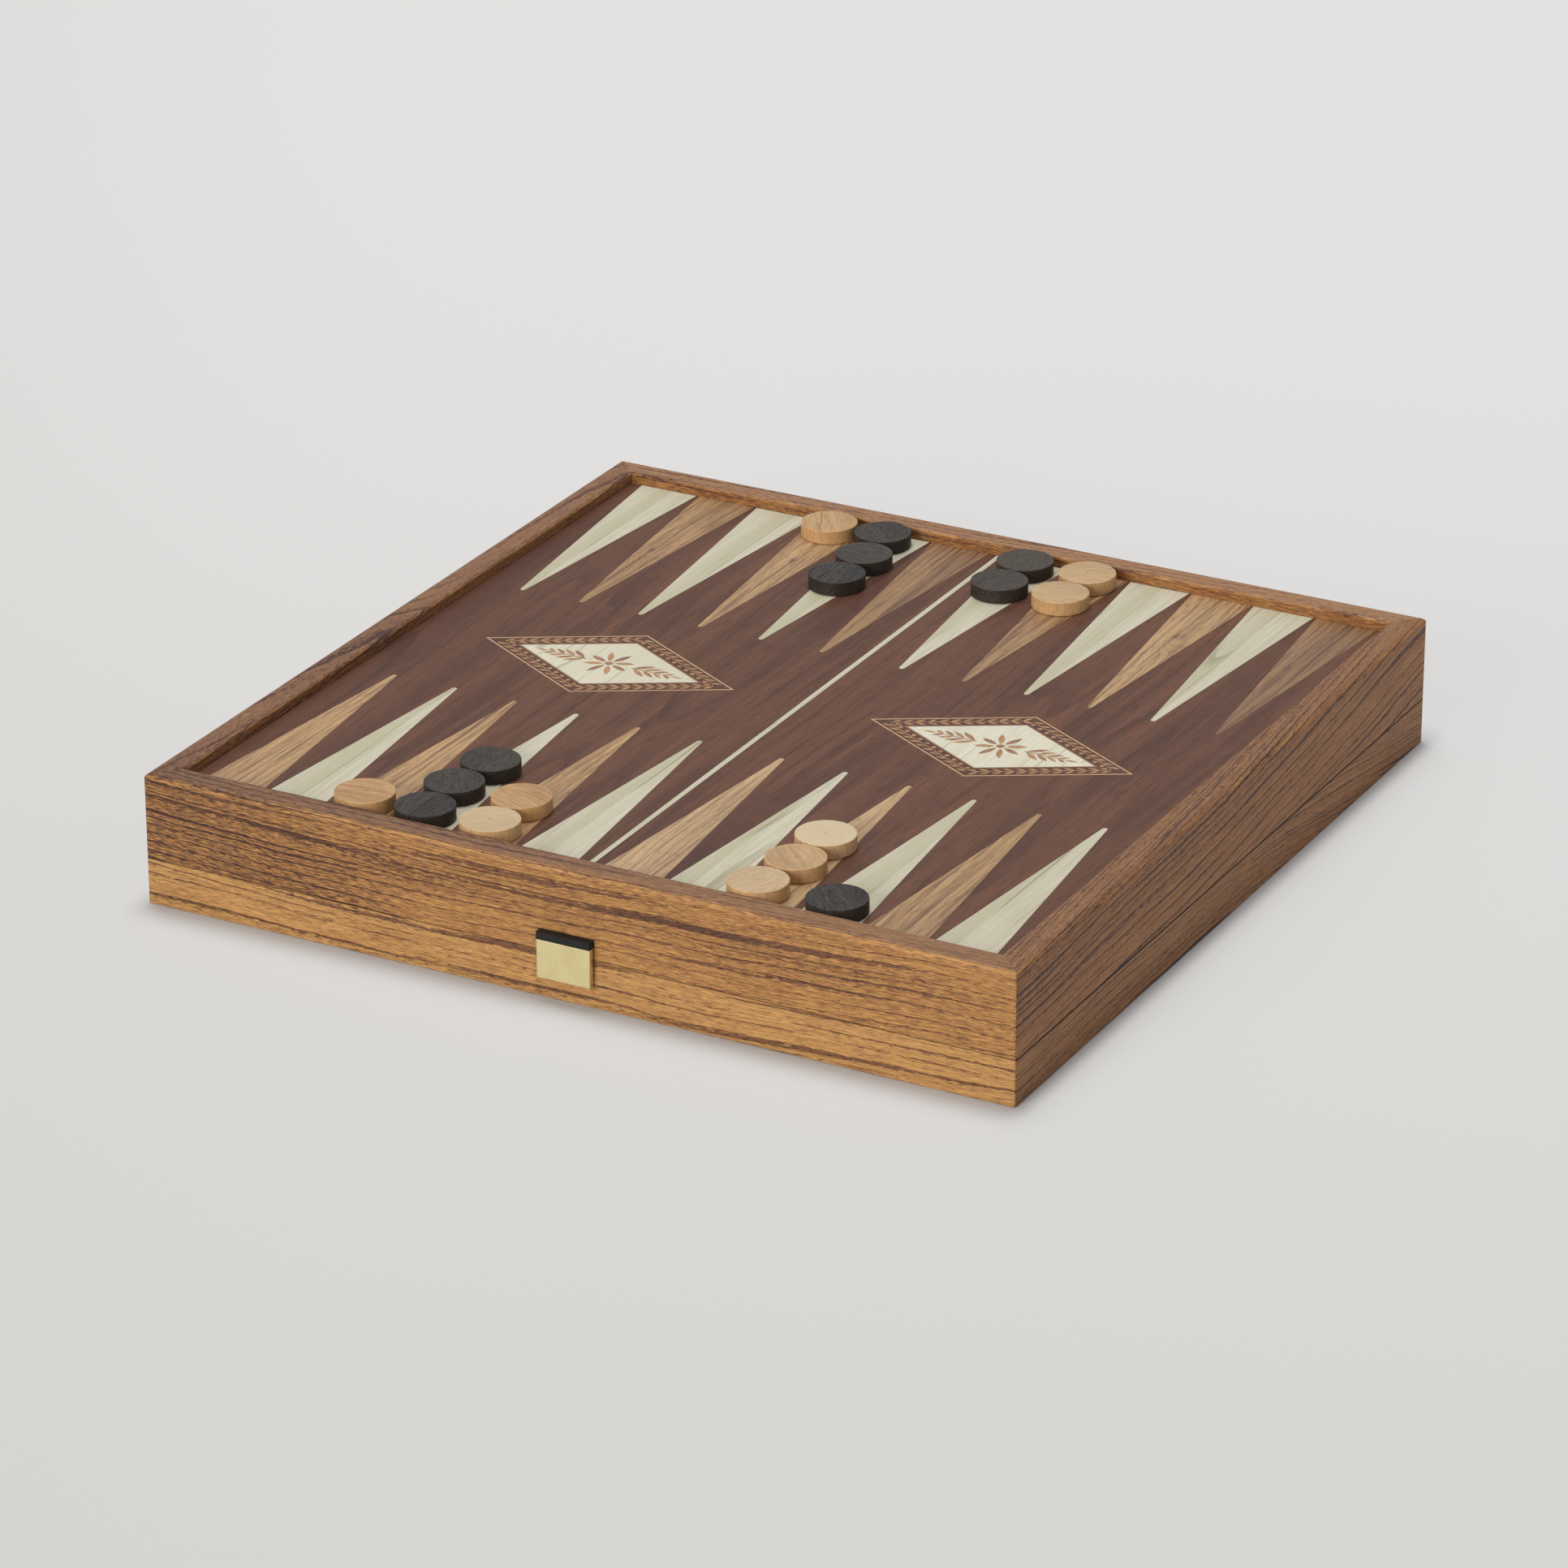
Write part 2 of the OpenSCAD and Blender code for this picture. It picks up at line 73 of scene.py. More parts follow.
EdgeTest = Callable[[Vector, Vector], bool]
Round = Tuple[float, int]


class Part(Enum):
    """Bodies that the pieces ride on."""

    BASE = "base"
    LID = "lid"


class Slot(Enum):
    """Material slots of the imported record."""

    WALNUT = "walnut"
    FELT = "felt"
    OAK = "oak_inlay"
    BEECH = "beech_checkers"
    EBONY = "ebonised_checkers"
    DICE = "dice"
    BRASS = "brass"
    GOLD = "satin_gold"
    STEEL = "steel"
    RUBBER = "black_rubber"


def tint(colour: Colour) -> Tuple[float, float, float, float]:
    """Turn a display colour into the linear colour that a shader socket takes.

    Args:
        colour: Red, green and blue from 0 to 255.

    Returns:
        Linear red, green, blue and an alpha of 1.
    """
    parts = [part / 255 for part in colour]
    linear = [p / 12.92 if p <= 0.04045 else ((p + 0.055) / 1.055) ** 2.4 for p in parts]
    return linear[0], linear[1], linear[2], 1.0


def middle_of(node: str) -> Vector:
    """Find the middle of a node of the construction, in millimetres."""
    low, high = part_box(node)
    return (low + high) / (2 * MM)


def moved(x: float, y: float, z: float) -> Matrix:
    """Make the matrix of a shift."""
    return Matrix.Translation((x, y, z))


def turned(degrees: float, axis: str) -> Matrix:
    """Make the matrix of a turn about an axis."""
    return Matrix.Rotation(math.radians(degrees), 4, axis)


def edges_at(runs: str = "", **levels: float) -> EdgeTest:
    """Make a test that picks the edges to be rounded.

    Args:
        runs: Axis that the edges run along, or nothing for any.
        **levels: Level of both ends on the axes x, y and z.

    Returns:
        The test, on the two ends of an edge.
    """
    def picked(first: Vector, second: Vector) -> bool:
        """Say whether an edge is picked.

        Args:
            first: One end of the edge.
            second: Its other end.

        Returns:
            Whether it lies at the levels and runs along the axis.
        """
        level = all(abs(getattr(end, axis) - value) < NEAR
                    for axis, value in levels.items() for end in (first, second))
        still = [axis for axis in "xyz" if runs and axis != runs]
        return level and all(abs(getattr(first - second, axis)) < NEAR for axis in still)
    return picked


def joined(operation: str, swapped: bool = False) -> Callable[..., "Wire"]:
    """Make a method of a wire that puts it and a value into a Math node.

    Args:
        operation: Operation of the node.
        swapped: Whether the value goes before the wire.

    Returns:
        The method.
    """
    def method(wire: "Wire", value: Any = 0.0) -> "Wire":
        """Join the wire and the value."""
        first, second = (value, wire) if swapped else (wire, value)
        return wire.shader.node("ShaderNodeMath", {"operation": operation}, {0: first, 1: second})
    return method


class Wire:
    """Socket of a shader node, which Python's operators join into Math nodes."""

    def __init__(self, shader: "Shader", socket: bpy.types.NodeSocket) -> None:
        """Keep the shader that makes the nodes and the socket that is read."""
        self.shader = shader
        self.socket = socket

    __add__, __radd__ = joined("ADD"), joined("ADD", True)
    __sub__, __rsub__ = joined("SUBTRACT"), joined("SUBTRACT", True)
    __mul__, __rmul__ = joined("MULTIPLY"), joined("MULTIPLY", True)
    __truediv__, __pow__ = joined("DIVIDE"), joined("POWER")
    __abs__, sign, highest = joined("ABSOLUTE"), joined("SIGN"), joined("MAXIMUM")
    fraction, whole = joined("FRACT"), joined("FLOOR")


Value = Union[float, Wire]


class Shader:
    """Builder of the nodes of one material or world."""

    def __init__(self, owner: Union[bpy.types.Material, bpy.types.World]) -> None:
        """Start on the nodes that Blender gives the owner.

        Args:
            owner: Material or world that the nodes belong to.
        """
        owner.use_nodes = True
        self.tree = owner.node_tree
        self.surface = self.tree.nodes.get("Principled BSDF")

    def node(self, kind: str, settings: Optional[Dict[str, Any]] = None,
             values: Optional[Dict[Any, Any]] = None, output: Union[int, str] = 0) -> Wire:
        """Make a node.

        Args:
            kind: Type of the node.
            settings: Its properties, and under "stops" the places and colours of the
                steps of a ramp.
            values: Number, colour or wire for each input, by name or index.
            output: Output that is read, by name or index.

        Returns:
            The wire from that output.
        """
        made = self.tree.nodes.new(kind)
        for key, value in (settings or {}).items():
            if key == "stops":
                ramp = made.color_ramp
                ramp.interpolation = "CONSTANT"
                while len(ramp.elements) < len(value):
                    ramp.elements.new(0.5)
                for element, (place, colour) in zip(ramp.elements, value):
                    element.position, element.color = place, colour
            else:
                setattr(made, key, value)
        for key, value in (values or {}).items():
            if isinstance(value, Wire):
                self.tree.links.new(value.socket, made.inputs[key])
            else:
                made.inputs[key].default_value = value
        return Wire(self, made.outputs[output])

    def place(self, shift: Point = (0.0, 0.0, 0.0), turn: float = 0.0) -> Tuple[Wire, ...]:
        """Read the Object coordinates through a Mapping node.

        Args:
            shift: Shift in metres, added after the turn.
            turn: Turn about Z in degrees.

        Returns:
            The wires of the mapped point's three coordinates.
        """
        point = self.node("ShaderNodeTexCoord", output="Object")
        return self.split(self.node("ShaderNodeMapping", {"vector_type": "POINT"},
                                    {"Vector": point, "Location": shift,
                                     "Rotation": (0.0, 0.0, math.radians(turn))}))

    def attribute(self, name: str, output: str = "Fac") -> Wire:
        """Read an attribute of the piece."""
        return self.node("ShaderNodeAttribute", {"attribute_name": name}, output=output)

    def split(self, vector: Wire) -> Tuple[Wire, ...]:
        """Take a vector apart into its three numbers."""
        source = self.node("ShaderNodeSeparateXYZ", values={0: vector}).socket.node
        return tuple(Wire(self, output) for output in source.outputs)

    def noise(self, place: Sequence[Value], detail: float = 2.0, rough: float = 0.5,
              bend: float = 0.0) -> Wire:
        """Read smooth noise at a place that is already in cells.

        Args:
            place: Place in three numbers, one cell to the unit.
            detail: Octaves of finer noise.
            rough: Strength of the finer octaves.
            bend: Distortion.

        Returns:
            The wire of the noise, about 0.5 on average.
        """
        vector = self.node("ShaderNodeCombineXYZ", values=dict(enumerate(place)))
        return self.node("ShaderNodeTexNoise", {"noise_dimensions": "3D"},
                         {"Vector": vector, "Scale": 1.0, "Detail": detail,
                          "Roughness": rough, "Distortion": bend})

    def step(self, value: Wire, low: float, high: float) -> Wire:
        """Rise smoothly from 0 at low to 1 at high, or fall where low is the larger."""
        return self.node("ShaderNodeMapRange", {"interpolation_type": "SMOOTHSTEP"},
                         {0: value, 1: low, 2: high, 3: 0.0, 4: 1.0})

    def coats(self, colour: Any, *coats: Tuple[Value, Any]) -> Wire:
        """Lay coats of colour over one another with Mix nodes.

        Args:
            colour: Display colour or wire at the bottom.
            *coats: Share of each coat, and its display colour or wire, from the bottom up.

        Returns:
            The wire of the colour on top.
        """
        for share, coat in coats:
            sides = [side if isinstance(side, Wire) else tint(side) for side in (colour, coat)]
            colour = self.node("ShaderNodeMix", {"data_type": "RGBA"},
                               {"Factor": share, 6: sides[0], 7: sides[1]}, 2)
        return colour

    def relief(self, height: Wire, depth: float, strength: float) -> None:
        """Feed a height into the surface's normal.

        Args:
            height: Height from 0 to 1.
            depth: Depth in metres of a height of 1.
            strength: Strength of the Bump node.
        """
        bump = self.node("ShaderNodeBump", values={"Height": height, "Distance": depth,
                                                   "Strength": strength})
        self.tree.links.new(bump.socket, self.surface.inputs["Normal"])

    def dress(self, colour: Wire, rough: Value, **constants: Any) -> None:
        """Set the surface's colour, roughness and constant sockets.

        Args:
            colour: Base colour.
            rough: Roughness.
            **constants: Other sockets, with _ for a blank in the name.
        """
        self.tree.links.new(colour.socket, self.surface.inputs["Base Color"])
        if isinstance(rough, Wire):
            self.tree.links.new(rough.socket, self.surface.inputs["Roughness"])
        else:
            self.surface.inputs["Roughness"].default_value = rough
        for key, value in constants.items():
            self.surface.inputs[key.replace("_", " ")].default_value = value

    def show(self, lit: bpy.types.Node, pale: Wire, share: Value) -> None:
        """Mix a paler look over a lit one, for the camera alone.

        Args:
            lit: Node of the look that takes and gives the light.
            pale: Look that the camera gets, also by way of gloss and glass.
            share: How much of it the camera gets.
        """
        rays = self.node("ShaderNodeLightPath").socket.node.outputs
        seen, glossy, through = (Wire(self, rays[f"Is {kind} Ray"])
                                 for kind in ("Camera", "Glossy", "Transmission"))
        seen = seen.highest(glossy).highest(through)
        both = self.node("ShaderNodeMixShader", values={
            0: seen * share, 1: Wire(self, lit.outputs[0]), 2: pale})
        end = next(node for node in self.tree.nodes if node.type.startswith("OUTPUT"))
        self.tree.links.new(both.socket, end.inputs["Surface"])


@dataclass(frozen=True)
class Finish:
    """Finish of a surface, which makes its material once for each name."""

    def material(self, name: str) -> bpy.types.Material:
        """Find the material of a name, or make it.

        Args:
            name: Name of the material.

        Returns:
            The material.
        """
        if name not in bpy.data.materials:
            self.paint(Shader(bpy.data.materials.new(name)))
        return bpy.data.materials[name]

    def paint(self, shader: Shader) -> None:
        """Build the nodes of the material."""
        raise NotImplementedError


@dataclass(frozen=True)
class Walnut(Finish):
    """Oiled walnut board with wavy growth lines that are made of open pores."""

    turn: float = 0.0
    shift: Point = (0.0, 0.0, 0.0)
    slope: float = 0.05
    spacing: float = 0.0030
    bow: float = -0.06
    light: Colour = (194, 140, 78)
    middle: Colour = (158, 104, 56)
    brown: Colour = (98, 62, 44)
    pore: Colour = (58, 36, 36)
    glow: Colour = (222, 168, 98)
    rim_top_sheen: Colour = (128, 92, 72)
    deep: Colour = (134, 86, 50)
    stroked: Colour = (124, 80, 54)
    shadow: Colour = (34, 22, 18)
    heart: Tuple[float, float] = (0.09, 0.06)
    streaks: float = 0.6
    trend: float = 0.0
    fibres: float = 0.8
    run: float = 190.0
    keen: float = 0.13
    seam_shadow: float = 0.30
    half_side: float = 0.205
    wall: float = 0.013
    seam: float = 0.021
    top: float = 0.060

    def paint(self, shader: Shader) -> None:
        """Build the nodes of the material.

        Args:
            shader: Shader of the material.
        """
        noise, step = shader.noise, shader.step
        along, across, up = shader.place(self.shift, self.turn)
        side, inward, height = shader.place((0.0, self.half_side, 0.0), self.turn)
        bend = noise((along * 5.0, across * 12.0, up * 12.0)) - 0.5
        wave = noise((along * 80.0, across * 60.0, up * 60.0)) - 0.5
        high = up + along * self.slope + side * side * self.bow + bend * 0.014 + wave * 0.0009
        ring = ((across + self.heart[0]) ** 2.0 + (high + self.heart[1]) ** 2.0) ** 0.5
        ring = ring / self.spacing
        phase = (ring + noise((ring * 0.5, along * 1.5, 0.0)) * 3.6).fraction()
        late = step(phase, 0.50, 0.92) * step(phase, 1.0, 0.95)
        patch = noise((ring * 0.15, along * 3.4, 0.5)) - side * self.trend
        rich = step(patch, 0.31, 0.60) * self.streaks
        fade = noise((along * 9.0, ring * 0.9, 0.0))
        line = late * step(fade + rich * 0.15, 0.36, 0.54)
        thin = step(phase, 0.77, 0.87) * step(phase, 1.0, 0.93) * step(fade, 0.34, 0.48)
        hair = noise((along * 44.0, ring * 5.0, 2.0), 4.0, 0.70)
        fibre = noise((along * self.run, across * 2000.0, high * 2000.0), 3.0, 0.65)
        grain = noise((along * 260.0, across * 2300.0, high * 2300.0), 2.0, 0.6)
        soft = noise((along * 30.0, across * 210.0, high * 210.0))
        stroke = hair * 0.45 + fibre * 0.62 - 0.035
        strong = stroke + thin * self.keen + line * (0.07 + rich * 0.07) + rich * 0.06
        streak = step(strong, 0.57, 0.66)
        core = step(stroke + line * 0.14 + thin * self.keen, 0.62, 0.76)
        pores = step(grain + line * 0.10 + rich * 0.08, 0.62, 0.73)
        early = step(phase, 0.22, 0.04) * step(fade, 0.38, 0.54)
        # Painted light: the flat top of the rim, picked by crest, is painted in a duller tone that
        # stands in for its sheen and the way the light falls on it.
        flat = inward + height - self.top + (soft - 0.5) * 0.001
        inner = self.wall - inward + height - self.top
        crest = step(flat, -0.0002, 0.0004) * step(inner, -0.0002, 0.0004)
        # Painted highlight and wear: a lighter, patchy band in the glow colour along the rim's
        # rounded outer edge.
        edge_wear_and_highlight = step(abs(flat), 0.0016, 0.0003) * step(fade, 0.46, 0.62)
        # Painted shadow: a dark line on the outside along the seam between lid and base, where the
        # gap lies in shade.
        seam = step(abs(height - self.seam), 0.0006, 0.0003) * step(inward, 0.0012, 0.0004)
        colour = shader.coats(
            self.middle, (step(hair, 0.60, 0.36), self.light), (rich * 0.42, self.deep),
            (step(soft, 0.44, 0.72) * (0.15 + rich * 0.15), self.brown),
            (step(fibre, 0.47, 0.60) * self.fibres * (0.42 + rich * 0.48), self.brown),
            (step(fibre, 0.47, 0.33) * self.fibres * 0.55, self.glow),
            (step(grain, 0.46, 0.30) * 0.35, self.glow), (early * self.keen, self.glow),
            (crest * 0.5, self.rim_top_sheen), (edge_wear_and_highlight * 0.3, self.glow),
            (streak * 0.78, shader.coats(self.stroked, (rich + 0.1, self.brown))),
            (streak * core * (self.keen * 1.8 + rich * 0.60), self.pore),
            (pores * 0.78, self.pore), (seam * self.seam_shadow, self.shadow))
        shader.dress(colour, 0.46 + pores * 0.20 + grain * 0.12, Specular_IOR_Level=0.3)
        shader.relief(grain * 0.4 - pores - streak * 0.4, 0.00022, 0.6)


@dataclass(frozen=True)
class Mahogany(Finish):
    """Dark red-brown veneer with its grain from front to back under satin lacquer."""

    base: Colour = (102, 67, 50)
    dark: Colour = (80, 51, 40)
    red: Colour = (122, 80, 58)
    growth: Colour = (66, 42, 36)
    pore: Colour = (60, 36, 30)
    shift: Point = (0.0, 0.0, 0.0)

    def paint(self, shader: Shader) -> None:
        """Build the nodes of the material.

        Args:
            shader: Shader of the material.
        """
        noise, step = shader.noise, shader.step
        x, y, _ = shader.place(self.shift)
        across = x + (noise((x * 6.0, y * 4.0, 0.0), 1.0) - 0.5) * 0.012
        band = noise((across * 75.0, y * 3.0, 0.0), 3.0, 0.65)
        lines = noise((across * 380.0, y * 9.0, 4.0), 2.0, 0.6)
        warm = noise((across * 24.0, y * 2.4, 9.0), 3.0)
        pores = noise((across * 1900.0, y * 70.0, 0.0), 2.0, 0.6)
        level = (noise((across * 24.0, y * 1.8, 6.0), 1.0) * 9.0).fraction()
        crest = step(level, 0.74, 0.96) * step(level, 1.0, 0.975)
        fade = noise((across * 30.0, y * 8.0, 1.0), 1.0)
        cloud = noise((x * 22.0, y * 22.0, 2.0), 3.0, 0.6)
        colour = shader.coats(
            self.base, (step(band, 0.38, 0.64), self.dark),
            (step(warm, 0.50, 0.72) * 0.45, self.red),
            (step(lines, 0.55, 0.68) * 0.60, self.dark), (step(lines, 0.44, 0.30) * 0.40, self.red),
            # The field darkens towards its left end.
            (step(cloud, 0.42, 0.66) * 0.35, self.base), (step(x, -0.12, -0.19) * 0.35, self.dark),
            (crest * step(fade, 0.36, 0.60) * 0.65, self.growth),
            (step(pores, 0.54, 0.66) * 0.60, self.pore))
        shader.dress(colour, 0.44 + pores * 0.16, Specular_IOR_Level=0.2)
        shader.relief(pores, 0.00005, 0.35)


class Spot(NamedTuple):
    """Wires that say where on which point of the field a place lies."""

    x: Wire
    y: Wire
    aside: Wire
    out: Wire
    luck: Wire
    offset: Wire
    tilt: Wire


@dataclass(frozen=True)
class Inlay(Finish):
    """Veneer of the points, which knows the place of each point on the field."""

    first: float = 0.0198
    pitch: float = 0.0304
    half: float = 0.1917
    length: float = 0.137
    seeds: Tuple[float, float] = (3.7, 17.3)

    def locate(self, shader: Shader) -> Spot:
        """Work out where on which point a place lies.

        Args:
            shader: Shader of the material.

        Returns:
            The place in metres, aside from the point's middle, out along the point from 0 to
            1, and the point's own three random numbers.
        """
        x, y, _ = shader.place()
        count = (abs(x) - self.first + self.pitch / 2) / self.pitch
        number = count.whole()
        seed = number * x.sign() * self.seeds[0] + y.sign() * self.seeds[1]
        chance = shader.node("ShaderNodeTexWhiteNoise", {"noise_dimensions": "1D"},
                             {"W": seed}, "Color")
        return Spot(x, y, (count - number - 0.5) * self.pitch * x.sign(),
                    (self.half - abs(y)) / self.length, *shader.split(chance))


@dataclass(frozen=True)
class Maple(Inlay):
    """Pale inlay, cream on one side of a few olive lines and greenish on the other."""

    base: Colour = (206, 200, 180)
    shade: Colour = (178, 172, 140)
    olive: Colour = (138, 132, 100)
    shift: float = 0.0

    def paint(self, shader: Shader) -> None:
        """Build the nodes of the material.

        Args:
            shader: Shader of the material.
        """
        noise, step = shader.noise, shader.step
        at = self.locate(shader)
        x, y, shift = at.x, at.y, self.shift + at.luck * 5.0
        sway = noise((x * 9.0, y * 7.0, shift), 1.0) - 0.5
        across = x + sway * 0.005
        turn = (at.aside + sway * 0.004) / self.pitch + (at.offset - 0.5) * 0.30
        green = step(turn, -0.45, -0.02) * step(turn, 0.025, -0.005)
        level = (noise((across * 44.0, y * 1.8, shift), 1.0) * 7.0).fraction()
        crest = step(level, 0.88, 0.98) * step(level, 1.0, 0.99)
        fade = step(noise((across * 30.0, y * 14.0, 7.0), 1.0), 0.38, 0.60)
        centre = step(abs(turn - 0.01), 0.022, 0.004)
        fine = noise((across * 600.0, y * 16.0, shift), 3.0, 0.65)
        flecks = noise((across * 1500.0, y * 190.0, 0.0), 2.0, 0.6)
        colour = shader.coats(
            self.base, (step(fine, 0.34, 0.68) * 0.5, self.shade), (green * 0.6, self.shade),
            (step(level, 0.30, 0.98) * fade * 0.40, self.shade), (crest * fade * 0.60, self.olive),
            (centre * fade * 0.55, self.olive), (step(flecks, 0.58, 0.74) * 0.22, self.olive))
        shader.dress(colour, 0.38 + fine * 0.14, Specular_IOR_Level=0.4)
        shader.relief(fine, 0.00004, 0.35)


@dataclass(frozen=True)
class Oak(Inlay):
    """Tan inlay with flame lines, fine pores and here and there a knot."""

    base: Colour = (150, 112, 76)
    pale: Colour = (196, 160, 112)
    line: Colour = (98, 70, 50)
    rosy: Colour = (104, 68, 46)
    deep: Colour = (80, 54, 38)
    light: Colour = (206, 176, 136)
    span: float = 0.3648
    start: float = 0.1915
    front: Tuple[float, ...] = (0.6, 0.5, 0.45, 0.8, 0.8, 0.45)
    rear: Tuple[float, ...] = (0.0, 0.65, 0.3, 0.1, 0.6, 0.35)

    def tone(self, shader: Shader, x: Wire, tones: Sequence[float]) -> Wire:
        """Look up the tone of a point by its place in the row.

        Args:
            shader: Shader of the material.
            x: Place along the row, in metres.
            tones: Tones of the row's six oak points, 0 for dark and 1 for light.

        Returns:
            The wire of the tone.
        """
        stops = [(i / len(tones), (tone, tone, tone, 1.0)) for i, tone in enumerate(tones)]
        ramp = shader.node("ShaderNodeValToRGB", {"stops": stops},
                           {0: (x + self.start) / self.span})
        return shader.split(ramp)[0]

    def paint(self, shader: Shader) -> None:
        """Build the nodes of the material.

        Args:
            shader: Shader of the material.
        """
        noise, step = shader.noise, shader.step
        at = self.locate(shader)
        x, y = at.x, at.y
        knot_x = at.aside - (at.offset - 0.5) * 0.007
        knot_y = (at.out - 0.42 - (at.tilt - 0.5) * 0.18) * self.length
        near = (knot_x * knot_x * 42000.0 + knot_y * knot_y * 9000.0) ** 0.5
        back = step(y, -0.01, 0.01)
        chosen = step(at.luck, 0.30, 0.45) * back
        warp = noise((x * 16.0, y * 9.0, 3.0))
        drift = at.aside + (at.tilt - 0.5) * 0.014 * at.out
        level = (drift * 260.0 + warp * 4.0 + chosen * step(near, 2.4, 0.0) * 3.2).fraction()
        crest = step(level, 0.60, 0.94) * step(level, 1.0, 0.96)
        fade = step(noise((x * 60.0, y * 11.0, 5.0)), 0.38, 0.62)
        half = step(drift + (warp - 0.5) * 0.010 - (at.offset - 0.5) * 0.012, -0.0006, 0.0006)
        split = abs(at.aside - (at.offset - 0.5) * 0.004 - (warp - 0.5) * 0.006)
        crack = step(split, 0.0007, 0.0) * chosen * step(
            noise((x * 40.0, y * 18.0, 8.0)), 0.36, 0.52)
        pores = noise((x * 1300.0, y * 120.0, 0.0), 2.0, 0.6)
        fine = noise((drift * 620.0, y * 16.0, 2.0 + at.luck * 40.0), 3.0, 0.68)
        tone = (self.tone(shader, x, self.front) * (1.0 - back)
                + self.tone(shader, x * -1.0, self.rear) * back)
        dim = step(tone, 0.5, 0.0)
        colour = shader.coats(
            self.base, (step(fine, 0.34, 0.68), self.pale),
            (step(tone, 0.5, 1.0) * 0.8, self.light),
            (dim * 0.52 + half * 0.16, self.rosy), (step(warp, 0.45, 0.75) * 0.16, self.rosy),
            (step(fine, 0.47, 0.35) * 0.50, self.line),
            (step(fine, 0.50, 0.40) * dim * 0.45, self.deep),
            (crest * fade * 0.45, self.line), (step(pores, 0.54, 0.68) * 0.50, self.line),
            (crack * 0.75, self.line), (step(near, 0.42, 0.12) * chosen * 0.85, self.line))
        shader.dress(colour, 0.38 + pores * 0.16, Specular_IOR_Level=0.4)
        shader.relief(1.0 - step(pores, 0.54, 0.72), 0.00005, 0.4)


@dataclass(frozen=True)
class BandLine(Finish):
    """Thin lines of a medallion: light outside its border and brown inside it."""

    outer: Colour = (192, 156, 114)
    inner: Colour = (132, 92, 64)
    centre: float = 0.0958
    half_length: float = 0.0625
    half_width: float = 0.0353

    def paint(self, shader: Shader) -> None:
        """Build the nodes of the material.

        Args:
            shader: Shader of the material.
        """
        x, y, _ = shader.place()
        share = abs(abs(x) - self.centre) / self.half_length + abs(y) / self.half_width
        grain = shader.noise((x * 900.0, y * 40.0, 0.0))
        colour = shader.coats(self.inner, (shader.step(share, 0.88, 0.92), self.outer),
                              (shader.step(grain, 0.45, 0.75) * 0.35, self.inner))
        shader.dress(colour, 0.36 + grain * 0.12)
        shader.relief(grain, 0.00003, 0.3)


@dataclass(frozen=True)
class Turned(Finish):
    """Turned wood of the checkers, each with its own shade and grain."""

    pale: Colour = (196, 160, 114)
    base: Colour = (171, 130, 84)
    line: Colour = (126, 84, 48)
    best: Colour = (210, 194, 162)
    side: Colour = (230, 182, 126)
    radius: float = 0.013
    rough: float = 0.44
    grooves: float = 0.35
    parting: float = 0.2
    torn: float = 0.28
    rings: float = 0.20
    pits: float = 0.32
    depth: float = 0.00008
    shine: float = 0.35

    def paint(self, shader: Shader) -> None:
        """Build the nodes of the material.

        Args:
            shader: Shader of the material.
        """
        noise, step = shader.noise, shader.step
        lathe = shader.attribute("lathe", "Vector")
        board, shade = shader.attribute("board"), shader.attribute("shade")
        along, across, up = shader.split(shader.node(
            "ShaderNodeVectorRotate", {"rotation_type": "Z_AXIS"},
            {"Vector": lathe, "Angle": board * 2.4}))
        x, y, _ = shader.split(lathe)
        radius = (x * x + y * y) ** 0.5
        shift = board * 3.1
        warp = noise((along * 26.0 + shift, across * 40.0, up * 40.0))
        level = (across * 330.0 + up * 160.0 + warp * 6.0 + shift).fraction()
        crest = step(level, 0.35, 0.95) * step(level, 1.0, 0.96)
        fade = step(noise((along * 40.0 + shift, across * 110.0, up * 110.0)), 0.34, 0.62)
        fine = noise((along * 80.0 + shift, across * 850.0, up * 850.0), 3.0, 0.65)
        fleck = noise((along * 260.0, across * 950.0 + shift, up * 950.0), 2.0, 0.6)
        flecks = step(fleck, 0.55, 0.68)
        groove = noise((radius * 1500.0, board, 0.0), 1.0)
        halves = step(across + (warp - 0.5) * 0.010 - (warp - 0.4) * 0.02, -0.0008, 0.0008)
        split = step(abs(across + 0.002 + (warp - 0.5) * 0.012), 0.0005, 0.0001)
        crack = split * step(shade, 0.30, 0.10)
        # Painted light: the turned side band, picked by edge, is painted lighter and warmer than
        # the face, standing in for the lamp on the side and the sheen on the face.
        edge = step(radius, self.radius - 0.0004, self.radius - 0.0001)
        nap = noise((along * 1000.0, across * 1000.0, up * 240.0), 3.0, 0.7)
        colour = shader.coats(
            self.pale, (step(fine, 0.32, 0.70), self.base), (halves * self.parting, self.line),
            (crest * fade * self.rings, self.line), (shade * 0.86, self.best),
            (flecks * (1.0 - shade * 0.7) * self.pits, self.line), (crack * 0.5, self.line),
            (step(groove, 0.50, 0.75) * 0.10, self.line),
            (step(radius, 0.0009, 0.0003) * 0.5, self.line), (edge * 0.55, self.side),
            (edge * step(nap, 0.46, 0.66) * self.torn, self.line))
        shader.dress(colour, self.rough + fine * 0.14, Specular_IOR_Level=self.shine)
        shader.relief(fine * 0.5 + groove * self.grooves + edge * nap * self.torn
                      - flecks * self.pits * 2.0 - crack, self.depth, 0.6)


